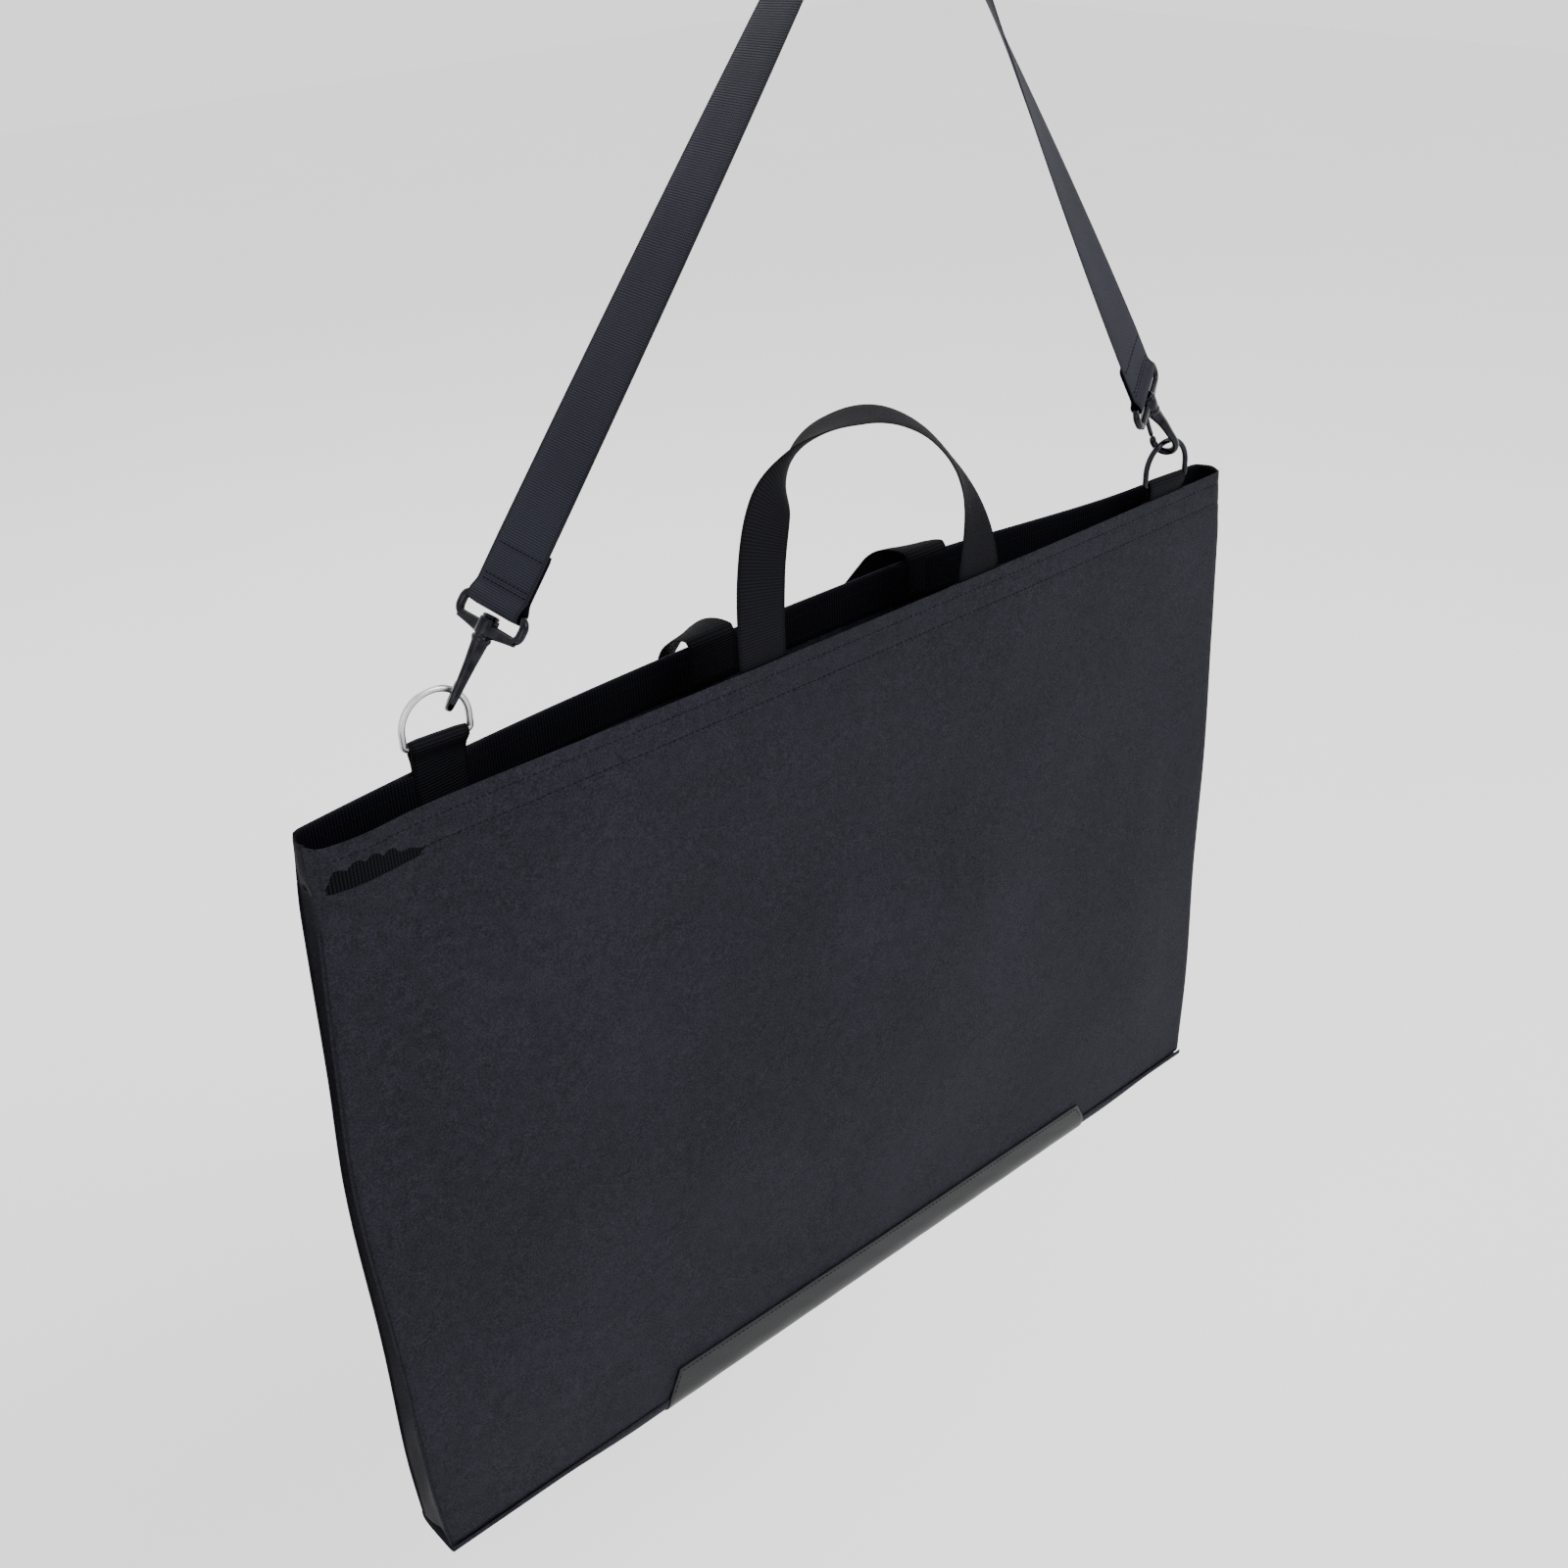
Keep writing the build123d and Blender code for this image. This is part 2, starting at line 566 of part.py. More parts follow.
def strap_band():
    """The single layer of webbing: up the left leg, over the peg and down the right leg."""
    radius = PEG_RADIUS + STRAP_THICK / 2
    sections = leg_sections(LEFT)
    steps = 8
    for i in range(steps + 1):
        turn = LEFT.touch_angle + (RIGHT.touch_angle - LEFT.touch_angle) * i / steps
        centre = PEG_CENTRE + Vector(radius * cos(turn), 0, radius * sin(turn))
        along = Vector(sin(turn), 0, -cos(turn))
        sections.append(band_section(centre, along, square_to(along, twist_direction(APEX_TWIST)),
                                     STRAP_WIDTH, STRAP_THICK))
    for section in reversed(leg_sections(RIGHT)):
        sections.append(section)
    return loft(sections, ruled=True)


for name, fit in (("left", LEFT), ("right", RIGHT)):
    keep(f"{name}_ring_tab", fit.tab * ring_tab(fit.hem_turn, RING_BAR_Z[fit.end]))
    keep(f"{name}_d_ring", fit.ring * d_ring())
    keep(f"{name}_bail", fit.bail * bail())
    keep(f"{name}_hook", fit.hook * hook())
    keep(f"{name}_gate", fit.hook * gate())
    keep(f"{name}_gate_pin", fit.hook * gate_pin())
keep("shoulder_strap", LEFT.loop * strap_loop() + strap_band() + RIGHT.loop * strap_loop())

for node, shape in PARTS.items():
    export_step(shape, f"parts/{node}.step")
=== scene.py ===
import json
import math

import bmesh
import bpy
from mathutils import Matrix, Vector
from mathutils import noise as mnoise


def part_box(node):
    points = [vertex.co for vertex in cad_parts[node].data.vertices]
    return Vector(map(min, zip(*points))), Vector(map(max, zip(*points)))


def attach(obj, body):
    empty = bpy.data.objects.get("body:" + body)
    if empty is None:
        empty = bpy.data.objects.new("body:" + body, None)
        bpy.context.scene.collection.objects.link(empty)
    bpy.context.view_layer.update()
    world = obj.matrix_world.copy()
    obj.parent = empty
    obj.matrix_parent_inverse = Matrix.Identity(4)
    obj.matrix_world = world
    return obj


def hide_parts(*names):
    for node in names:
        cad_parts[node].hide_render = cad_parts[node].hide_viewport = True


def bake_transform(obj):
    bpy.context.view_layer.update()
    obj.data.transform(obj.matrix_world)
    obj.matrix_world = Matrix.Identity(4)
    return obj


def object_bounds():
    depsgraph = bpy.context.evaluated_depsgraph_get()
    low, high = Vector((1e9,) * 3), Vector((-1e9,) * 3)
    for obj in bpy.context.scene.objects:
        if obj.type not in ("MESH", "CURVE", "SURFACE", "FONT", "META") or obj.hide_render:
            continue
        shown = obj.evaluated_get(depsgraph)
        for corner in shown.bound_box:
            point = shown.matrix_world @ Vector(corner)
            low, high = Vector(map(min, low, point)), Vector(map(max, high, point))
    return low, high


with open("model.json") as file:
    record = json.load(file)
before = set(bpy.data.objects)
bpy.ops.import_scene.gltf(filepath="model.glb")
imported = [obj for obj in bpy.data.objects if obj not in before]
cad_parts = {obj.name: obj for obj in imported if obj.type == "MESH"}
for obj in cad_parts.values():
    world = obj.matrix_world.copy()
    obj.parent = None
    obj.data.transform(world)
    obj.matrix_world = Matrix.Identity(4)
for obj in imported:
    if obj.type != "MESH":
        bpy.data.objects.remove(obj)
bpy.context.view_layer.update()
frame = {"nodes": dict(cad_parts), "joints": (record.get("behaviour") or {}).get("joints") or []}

# Places taken from the frame. Lengths below are in millimetres from the middle
# of the case's top edge, and `place` carries them into the row frame in metres.

MM = 0.001
joints = {joint["name"]: joint for joint in frame["joints"]}
panel_low, panel_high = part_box("front_panel")
MIDDLE_X = (panel_low.x + panel_high.x) / 2
EDGE_Z = panel_high.z
WIDEST = (panel_high.x - panel_low.x) / 2 / MM
SEAM_BOW = 12.0
HALF = WIDEST - SEAM_BOW  # half the width at the mouth, before the seams bow out
FOOT = (panel_low.z - panel_high.z) / MM
patch_low, patch_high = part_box("base_patch")
PATCH_LEFT = (patch_low.x - MIDDLE_X) / MM
PATCH_RIGHT = (patch_high.x - MIDDLE_X) / MM
PATCH_TOP = (patch_high.z - EDGE_Z) / MM
PATCH_MIDDLE = (PATCH_LEFT + PATCH_RIGHT) / 2
PATCH_LENGTH = PATCH_RIGHT - PATCH_LEFT

WEB = 32.0
WEB_THICK = 1.7
STRAP_WEB = 38.0
STRAP_THICK = 1.6
BAND_STEP = 1.2 * MM
SPAN = 165.0
RISE = 107.5


def place(x, y, z):
    return Vector((MIDDLE_X + x * MM, y * MM, EDGE_Z + z * MM))


def clamp(t):
    return min(max(t, 0.0), 1.0)


def smooth(t):
    t = clamp(t)
    return t * t * (3 - 2 * t)


def mix(a, b, t):
    return a + (b - a) * t


def on_curve(place_on, places, values):
    """Value on a smooth curve through the given places, which run upwards or downwards."""
    last = len(places) - 1
    sign = 1 if places[last] > places[0] else -1
    i = 0
    while i < last - 1 and sign * (place_on - places[i + 1]) > 0:
        i += 1

    def slope(k):
        a = max(k - 1, 0)
        b = min(k + 1, last)
        return (values[b] - values[a]) / (places[b] - places[a])

    step = places[i + 1] - places[i]
    t = clamp((place_on - places[i]) / step)
    start = slope(i) * step * t * (1 - t) ** 2
    end = slope(i + 1) * step * t * t * (1 - t)
    return mix(values[i], values[i + 1], smooth(t)) + start - end


def joint_place(name):
    return Vector(joints[name]["pos_m"])


def joint_axis(name):
    return Vector(joints[name]["axis"]).normalized()


# ---- Mesh helpers ----

def link(name, mesh, material):
    obj = bpy.data.objects.new(name, mesh)
    bpy.context.scene.collection.objects.link(obj)
    obj.data.materials.append(material)
    for polygon in obj.data.polygons:
        polygon.use_smooth = True
    return obj


def surface(name, rows, uvs, closed_u=False, closed_v=False):
    """Mesh from rows of points, with one (u, v) in metres for each point."""
    bm = bmesh.new()
    layer = bm.loops.layers.uv.new("UVMap")
    verts = [[bm.verts.new(p) for p in row] for row in rows]
    n_rows = len(rows)
    n_cols = len(rows[0])
    for i in range(n_rows if closed_v else n_rows - 1):
        for j in range(n_cols if closed_u else n_cols - 1):
            i2 = (i + 1) % n_rows
            j2 = (j + 1) % n_cols
            corners = [(i, j), (i, j2), (i2, j2), (i2, j)]
            face = bm.faces.new([verts[a][b] for a, b in corners])
            for loop, (a, b) in zip(face.loops, corners):
                u, v = uvs[a][b]
                if closed_u and b == 0 and j == n_cols - 1:
                    u = 2 * uvs[a][n_cols - 1][0] - uvs[a][n_cols - 2][0]
                if closed_v and a == 0 and i == n_rows - 1:
                    v = 2 * uvs[n_rows - 1][b][1] - uvs[n_rows - 2][b][1]
                loop[layer].uv = (u, v)
    mesh = bpy.data.meshes.new(name)
    bm.to_mesh(mesh)
    bm.free()
    return mesh


def close_rings(mesh, starts, ring_size):
    """Caps the rings that begin at the given vertices and turns all faces outwards."""
    bm = bmesh.new()
    bm.from_mesh(mesh)
    bm.verts.ensure_lookup_table()
    for start in starts:
        bm.faces.new([bm.verts[start + k] for k in range(ring_size)])
    bmesh.ops.recalc_face_normals(bm, faces=bm.faces)
    bm.to_mesh(mesh)
    bm.free()


def thicken(obj, thickness, offset):
    """Gives a sheet its thickness and turns the result into plain mesh."""
    modifier = obj.modifiers.new("thickness", "SOLIDIFY")
    modifier.thickness = thickness * MM
    modifier.offset = offset
    modifier.use_even_offset = True
    modifier.use_quality_normals = True
    apply_modifiers(obj)


def apply_modifiers(obj):
    bpy.context.view_layer.update()
    depsgraph = bpy.context.evaluated_depsgraph_get()
    mesh = bpy.data.meshes.new_from_object(obj.evaluated_get(depsgraph))
    obj.modifiers.clear()
    obj.data = mesh


def band(name, stations, width, thick, material, cup=0.0):
    """Webbing along stations of (centre, width direction, face direction), all in metres."""
    half_w = width / 2 * MM
    half_t = thick / 2 * MM
    columns = 7
    edge_round = 0.35
    section = []
    for k in range(columns):
        a = -1 + 2 * k / (columns - 1)
        inset = edge_round if abs(a) == 1 else 1.0
        section.append((a * half_w, half_t * inset))
    section = section + [(a, -t) for a, t in reversed(section)]
    rows = []
    uvs = []
    length = 0.0
    previous = None
    for centre, across, face in stations:
        if previous is not None:
            length += (centre - previous).length
        previous = centre
        rows.append([centre + across * a + face * (t + cup * MM * (a / half_w) ** 2) for a, t in section])
        uvs.append([(length, a) for a, t in section])
    mesh = surface(name, rows, uvs, closed_u=True)
    close_rings(mesh, (0, (len(rows) - 1) * len(section)), len(section))
    obj = link(name, mesh, material)
    obj.data.set_sharp_from_angle(angle=math.radians(50))
    return obj


def tube(name, points, radii, frame_normal, sides=20, power=2.0, closed=False):
    """Solid along points with a superellipse section: radii are (in the bend's plane, across it)."""
    rows = []
    uvs = []
    length = 0.0
    count = len(points)
    for i in range(count):
        if closed:
            ahead = points[(i + 1) % count] - points[i - 1]
        else:
            ahead = points[min(i + 1, count - 1)] - points[max(i - 1, 0)]
        along = ahead.normalized()
        in_plane = frame_normal.cross(along).normalized()
        a_radius, b_radius = radii[i]
        if i:
            length += (points[i] - points[i - 1]).length
        row = []
        for k in range(sides):
            angle = 2 * math.pi * k / sides
            c = math.cos(angle)
            s = math.sin(angle)
            a = math.copysign(abs(c) ** (2 / power), c) * a_radius * MM
            b = math.copysign(abs(s) ** (2 / power), s) * b_radius * MM
            row.append(points[i] + in_plane * a + frame_normal * b)
        rows.append(row)
        uvs.append([(length, k / sides * 0.02) for k in range(sides)])
    mesh = surface(name, rows, uvs, closed_u=True, closed_v=closed)
    close_rings(mesh, () if closed else (0, (count - 1) * sides), sides)
    return mesh


def cast(name, meshes, material, body, nodes):
    """One metal piece made of several meshes, in place of CAD nodes."""
    bm = bmesh.new()
    for mesh in meshes:
        bm.from_mesh(mesh)
    whole = bpy.data.meshes.new(name)
    bm.to_mesh(whole)
    bm.free()
    for mesh in meshes:
        bpy.data.meshes.remove(mesh)
    obj = link(name, whole, material)
    obj.data.set_sharp_from_angle(angle=math.radians(60))
    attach(obj, body)
    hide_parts(*nodes)


THREAD_RADIUS = 0.24
THREAD_PROUD = 0.12
THREAD_SIDES = 6
# Places along one stitch, from end to end, with the thread's thickness at each
STITCH_SHAPE = ((-0.5, 0.35), (-0.3, 0.9), (0.0, 1.0), (0.3, 0.9), (0.5, 0.35))


def thread_row(bm, points, normals, pitch=3.7, stitch=2.9):
    """Adds a row of short lens-shaped stitches along a path into a bmesh."""
    lengths = [0.0]
    for a, b in zip(points, points[1:]):
        lengths.append(lengths[-1] + (b - a).length / MM)

    def at(distance):
        for i in range(len(points) - 1):
            if distance <= lengths[i + 1] or i == len(points) - 2:
                t = (distance - lengths[i]) / max(lengths[i + 1] - lengths[i], 1e-9)
                return points[i].lerp(points[i + 1], t), normals[i].lerp(normals[i + 1], t).normalized()

    count = int(lengths[-1] / pitch)
    for k in range(count):
        start, up = at(k * pitch + (pitch - stitch) / 2)
        end = at(k * pitch + (pitch + stitch) / 2)[0]
        along = (end - start).normalized()
        side = along.cross(up).normalized()
        middle = (start + end) / 2
        rings = []
        for t, size in STITCH_SHAPE:
            lift = THREAD_PROUD - 0.5 * (2 * abs(t)) ** 3 * THREAD_RADIUS
            centre = middle + (end - start) * t + up * lift * MM
            ring = []
            for q in range(THREAD_SIDES):
                angle = 2 * math.pi * q / THREAD_SIDES
                offset = side * math.cos(angle) + up * math.sin(angle)
                ring.append(bm.verts.new(centre + offset * THREAD_RADIUS * size * MM))
            rings.append(ring)
        for r0, r1 in zip(rings, rings[1:]):
            for q in range(THREAD_SIDES):
                after = (q + 1) % THREAD_SIDES
                bm.faces.new([r0[q], r0[after], r1[after], r1[q]])
        bm.faces.new(list(reversed(rings[0])))
        bm.faces.new(rings[-1])


def stitches(name, rows, body, **settings):
    bm = bmesh.new()
    for points, normals in rows:
        thread_row(bm, points, normals, **settings)
    mesh = bpy.data.meshes.new(name)
    bm.to_mesh(mesh)
    bm.free()
    obj = link(name, mesh, THREAD)
    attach(obj, body)


# ---- Materials ----

def srgb(*levels):
    """Linear colour from three display levels of 0 to 255."""
    linear = [((c / 255 + 0.055) / 1.055) ** 2.4 if c > 10 else c / 255 / 12.92 for c in levels]
    return tuple(linear) + (1.0,)


class Nodes:
    """Small helper that adds shader nodes and links them."""

    def __init__(self, name):
        self.material = bpy.data.materials.new(name)
        self.material.use_nodes = True
        self.tree = self.material.node_tree
        self.shader = self.tree.nodes["Principled BSDF"]

    def add(self, kind, inputs=None, **settings):
        node = self.tree.nodes.new(kind)
        for key, value in settings.items():
            setattr(node, key, value)
        for key, value in (inputs or {}).items():
            self.put(node.inputs[key], value)
        return node

    def put(self, socket, value):
        if isinstance(value, bpy.types.NodeSocket):
            self.tree.links.new(value, socket)
        else:
            socket.default_value = value

    def math(self, operation, a, b=0.0, c=0.0):
        node = self.add("ShaderNodeMath", {0: a, 1: b, 2: c}, operation=operation)
        return node.outputs[0]

    def noise(self, vector, scale, detail=2.0, rough=0.5):
        inputs = {"Vector": vector, "Scale": scale, "Detail": detail, "Roughness": rough}
        return self.add("ShaderNodeTexNoise", inputs).outputs["Fac"]

    def ramp(self, value, stops):
        node = self.add("ShaderNodeValToRGB", {"Fac": value})
        ramp = node.color_ramp
        while len(ramp.elements) < len(stops):
            ramp.elements.new(0.5)
        for element, (position, colour) in zip(ramp.elements, stops):
            element.position = position
            element.color = colour
        return node.outputs["Color"]

    def mix_colour(self, factor, a, b):
        node = self.add("ShaderNodeMix", data_type="RGBA")
        self.put(node.inputs[0], factor)
        self.put(node.inputs[6], a)
        self.put(node.inputs[7], b)
        return node.outputs[2]

    def bump(self, height, strength, distance, below=None):
        node = self.add("ShaderNodeBump", {"Height": height, "Strength": strength, "Distance": distance})
        if below is not None:
            self.put(node.inputs["Normal"], below)
        return node.outputs["Normal"]

    def uv(self):
        return self.add("ShaderNodeTexCoord").outputs["UV"]

    def object_place(self):
        return self.add("ShaderNodeTexCoord").outputs["Object"]

    def split(self, vector):
        return self.add("ShaderNodeSeparateXYZ", {0: vector}).outputs


def cloth_material(name, dark, light):
    """Tightly woven coated twill with faint diagonal lines and soft unevenness."""
    twill_pitch = 0.0016
    weft_pitch = 0.0011
    n = Nodes(name)
    uv = n.split(n.uv())
    diagonal = n.math("ADD", uv[0], uv[1])
    twill = n.math("SINE", n.math("MULTIPLY", diagonal, 2 * math.pi / twill_pitch))
    weft = n.math("SINE", n.math("MULTIPLY", uv[1], 2 * math.pi / weft_pitch))
    place_vector = n.object_place()
    broad = n.noise(place_vector, 7.0, 3.0, 0.55)
    fine = n.noise(place_vector, 900.0, 2.0, 0.6)
    slub = n.noise(place_vector, 160.0, 3.0, 0.6)
    shade = n.math("MULTIPLY_ADD", broad, 0.15, n.math("MULTIPLY", slub, 0.25))
    shade = n.math("ADD", shade, n.math("MULTIPLY", fine, 0.6))
    colour = n.ramp(shade, [(0.38, dark), (0.62, light)])
    n.put(n.shader.inputs["Base Color"], colour)
    height = n.math("MULTIPLY_ADD", twill, 0.6, n.math("MULTIPLY", weft, 0.25))
    height = n.math("ADD", height, n.math("MULTIPLY", fine, 1.1))
    normal = n.bump(height, 0.45, 0.00016)
    normal = n.bump(slub, 0.25, 0.0005, normal)
    n.put(n.shader.inputs["Normal"], normal)
    roughness = n.math("MULTIPLY_ADD", slub, 0.12, 0.62)
    n.put(n.shader.inputs["Roughness"], roughness)
    n.shader.inputs["Specular IOR Level"].default_value = 0.07
    return n.material


def webbing_material(name, dark, light, pitch, width=WEB, gloss=0.04):
    """Ribbed webbing: cross ribs along the band, warp threads across it and smoother selvages. The rib
    crests are painted lighter as a highlight and the hollows darker as painted shade.
    """
    warp_pitch = 0.0015
    selvage = 2.0
    n = Nodes(name)
    uv = n.split(n.uv())
    place_vector = n.object_place()
    wobble = n.noise(place_vector, 260.0, 2.0, 0.5)
    along = n.math("MULTIPLY_ADD", wobble, 0.0004, uv[0])
    rib = n.math("SINE", n.math("MULTIPLY", along, 2 * math.pi / (pitch * MM)))
    rib = n.math("MULTIPLY_ADD", rib, 0.5, 0.5)
    warp = n.math("SINE", n.math("MULTIPLY", uv[1], 2 * math.pi / warp_pitch))
    warp = n.math("MULTIPLY_ADD", warp, 0.5, 0.5)
    edge = n.math("SUBTRACT", n.math("ABSOLUTE", uv[1]), (width / 2 - selvage) * MM)
    edge = n.math("GREATER_THAN", edge, 0.0)
    fuzz = n.noise(place_vector, 1400.0, 2.0, 0.6)
    weave = n.math("MULTIPLY_ADD", n.math("MULTIPLY", rib, warp), 0.6, n.math("MULTIPLY", rib, 0.4))
    weave = n.math("MULTIPLY_ADD", fuzz, 0.35, weave)
    broad = n.noise(place_vector, 14.0, 2.0, 0.5)
    # Colour follows the rib relief: painted highlight on the rib crests and painted shade in the hollows,
    # over a broad random tone.
    shade = n.math("MULTIPLY_ADD", broad, 0.25, n.math("MULTIPLY", weave, 0.7))
    colour = n.ramp(shade, [(0.15, dark), (0.95, light)])
    colour = n.mix_colour(n.math("MULTIPLY", edge, 0.5), colour, dark)
    n.put(n.shader.inputs["Base Color"], colour)
    n.put(n.shader.inputs["Normal"], n.bump(weave, 0.75, 0.0005))
    n.put(n.shader.inputs["Roughness"], n.math("MULTIPLY_ADD", fuzz, 0.15, 0.6))
    n.shader.inputs["Specular IOR Level"].default_value = gloss
    return n.material


def vinyl_material():
    """Leather-grained vinyl: pebbled grain with worn, slightly lighter high places."""
    n = Nodes("patch_vinyl")
    place_vector = n.object_place()
    cells = n.add("ShaderNodeTexVoronoi", {"Vector": place_vector, "Scale": 620.0, "Randomness": 1.0},
                  feature="SMOOTH_F1")
    grain = n.noise(place_vector, 300.0, 4.0, 0.6)
    scuff = n.noise(place_vector, 35.0, 4.0, 0.65)
    height = n.math("MULTIPLY_ADD", cells.outputs["Distance"], 0.7, n.math("MULTIPLY", grain, 0.6))
    n.put(n.shader.inputs["Base Color"], n.ramp(scuff, [(0.3, srgb(10, 11, 13)), (0.75, srgb(19, 20, 23))]))
    n.put(n.shader.inputs["Normal"], n.bump(height, 0.35, 0.0004))
    n.put(n.shader.inputs["Roughness"], n.math("MULTIPLY_ADD", scuff, 0.22, 0.34))
    n.shader.inputs["Specular IOR Level"].default_value = 0.2
    return n.material


def metal_material(name, dark, light, rough):
    """Plated metal with faint cloudiness and fine scratches."""
    n = Nodes(name)
    place_vector = n.object_place()
    cloud = n.noise(place_vector, 120.0, 3.0, 0.6)
    scratch = n.noise(place_vector, 2600.0, 2.0, 0.7)
    n.put(n.shader.inputs["Base Color"], n.ramp(cloud, [(0.3, dark), (0.7, light)]))
    n.put(n.shader.inputs["Roughness"], n.math("MULTIPLY_ADD", cloud, 0.16, rough))
    n.put(n.shader.inputs["Normal"], n.bump(scratch, 0.08, 0.00005))
    n.shader.inputs["Metallic"].default_value = 1.0
    return n.material


def thread_material():
    n = Nodes("sewing_thread")
    ply = n.noise(n.object_place(), 3000.0, 1.0, 0.5)
    n.put(n.shader.inputs["Base Color"], n.ramp(ply, [(0.3, srgb(5, 5, 7)), (0.7, srgb(15, 15, 19))]))
    n.put(n.shader.inputs["Normal"], n.bump(ply, 0.4, 0.0001))
    n.shader.inputs["Roughness"].default_value = 0.85
    n.shader.inputs["Specular IOR Level"].default_value = 0.05
    return n.material


def floor_material():
    n = Nodes("pale_floor")
    speck = n.noise(n.object_place(), 3.0, 2.0, 0.5)
    colour = n.ramp(speck, [(0.0, (0.93, 0.93, 0.93, 1)), (1.0, (0.96, 0.96, 0.96, 1))])
    n.put(n.shader.inputs["Base Color"], colour)
    n.shader.inputs["Roughness"].default_value = 0.9
    return n.material


PANEL = cloth_material("panel_cloth", srgb(13, 13, 18), srgb(33, 33, 41))
# Darker copy of the panel cloth for the case's ends: painted shade for the ends turned away from the light.
END_CLOTH_PAINTED_SHADE = cloth_material("gusset_cloth", srgb(8, 8, 12), srgb(22, 22, 28))
WEBBING = webbing_material("handle_webbing", srgb(3, 3, 4), srgb(22, 22, 27), 1.7)
STRAP = webbing_material("strap_webbing", srgb(3, 3, 7), srgb(42, 43, 56), 1.25, STRAP_WEB, 0.1)
# Black facing webbing. Its dark end is set darker than the handle webbing as painted shade for the inside
# of the mouth.
FACING_BLACK_AND_SHADED = webbing_material("facing_webbing_painted_shade", srgb(0, 0, 1), srgb(22, 22, 27), 1.8, gloss=0.02)
VINYL = vinyl_material()
NICKEL = metal_material("ring_nickel", (0.42, 0.42, 0.44, 1), (0.62, 0.62, 0.64, 1), 0.24)
BLACK_NICKEL = metal_material("hook_black_nickel", (0.008, 0.008, 0.01, 1), (0.025, 0.025, 0.03, 1), 0.08)
THREAD = thread_material()

# ---- Cloth body ----

# Shape of the case down its height: depth at its ends, at the middle of the front and of the
# back, how far the ends fold in, and how far each side seam bows out past the mouth's half width
HEIGHTS = [0.0, -36.0, -130.0, -200.0, -300.0, -400.0, FOOT]
END_DEPTH = [10.5, 9.8, 6.4, 6.8, 9.6, 13.5, 16.0]
FRONT_DEPTH = [14.5, 14.5, 12.0, 13.0, 16.0, 17.0, 17.2]
BACK_DEPTH = [34.0, 34.0, 24.5, 22.0, 19.5, 18.0, 17.2]
FOLD_HEIGHTS = [0.0, -20.0, -34.0, -130.0, -200.0, -300.0, -400.0, FOOT]
GUSSET_FOLD = [-1.2, -0.6, 4.0, 8.5, 9.0, 7.0, 3.5, 1.5]
LEFT_BOW = [3.6, 5.0, 9.5, 12.0, 8.5, 5.0, 0.5]
RIGHT_BOW = [1.2, 3.5, 11.5, 13.0, 9.0, 4.5, -0.5]
# Bulge of the front edge near its left end: how far out, its middle from the end, width and depth
FLARE, FLARE_PLACE, FLARE_WIDTH, FLARE_DEPTH = 4.5, 22.0, 26.0, 55.0


def arch(x):
    return 1 - (x / HALF) ** 2


def back_mouth(x):
    """How far the back edge of the mouth stands open, 0 at the ends and 1 in the middle."""
    if x < 0:
        return 1 - clamp(-x / HALF) ** 2.2
    return 1 - 0.9 * smooth((x - 70) / 200) - 0.1 * clamp(x / HALF) ** 2


def ripple(x, z, seed):
    """Slow unevenness of hanging cloth, in millimetres."""
    a = math.sin(x * 0.0105 + z * 0.0135 + 0.6 + seed)
    b = math.sin(x * 0.019 - z * 0.0065 + 2.1 + seed)
    c = math.sin(x * 0.006 + z * 0.021 + 4.0 + seed)
    soft = mnoise.noise(Vector((x * 0.011, z * 0.011, 3.1 + seed)))
    fine = mnoise.noise(Vector((x * 0.035, z * 0.03, 7.7 + seed)))
    return 1.1 * a + 0.7 * b + 0.6 * c + 1.6 * soft + 0.5 * fine


def edge_x(side, z):
    """Where the case's side seam runs."""
    down = clamp(z / FOOT)
    if side > 0:
        return HALF + on_curve(z, HEIGHTS, RIGHT_BOW) + 0.9 * math.sin(17.0 * down) * down
    return HALF + on_curve(z, HEIGHTS, LEFT_BOW) + 0.7 * math.sin(15.0 * down + 0.5) * down


def panel_y(side, x, z):
    end = on_curve(z, HEIGHTS, END_DEPTH)
    if side < 0:
        middle = on_curve(z, HEIGHTS, FRONT_DEPTH)
        shape = arch(x)
    else:
        middle = on_curve(z, HEIGHTS, BACK_DEPTH)
        shape = mix(back_mouth(x), arch(x), smooth(-z / 260))
    calm = smooth(-z / 60) * smooth((z - FOOT) / 70) * smooth((HALF - abs(x)) / 60)
    flare = 0.0
    if side < 0:
        flare = FLARE * math.exp(-((x + HALF - FLARE_PLACE) / FLARE_WIDTH) ** 2)
        flare *= smooth((z + FLARE_DEPTH) / FLARE_DEPTH)
    return side * (end + (middle - end) * shape + flare) + ripple(x, z, 0 if side < 0 else 5) * calm


def seam_turn(z):
    """Radius of the corner before the side seam, rounder at the mouth, and the share that turns in."""
    down = smooth(-z / 45)
    return mix(7.5, 3.5, down), mix(0.9, 0.55, down)


def seam_round(x, width, z):
    """How far the cloth turns in over its last few millimetres before the side seam."""
    radius, share = seam_turn(z)
    inside = max(0.0, abs(x) - (width - radius))
    return share * (radius - math.sqrt(max(radius ** 2 - min(inside, radius) ** 2, 0.0)))


def panel_point(side, s, z):
    """s runs from -1 at the left seam to 1 at the right seam."""
    width = edge_x(1 if s > 0 else -1, z)
    x = s * width
    y = panel_y(side, s * HALF, z) - side * seam_round(x, width, z)
    return x, y


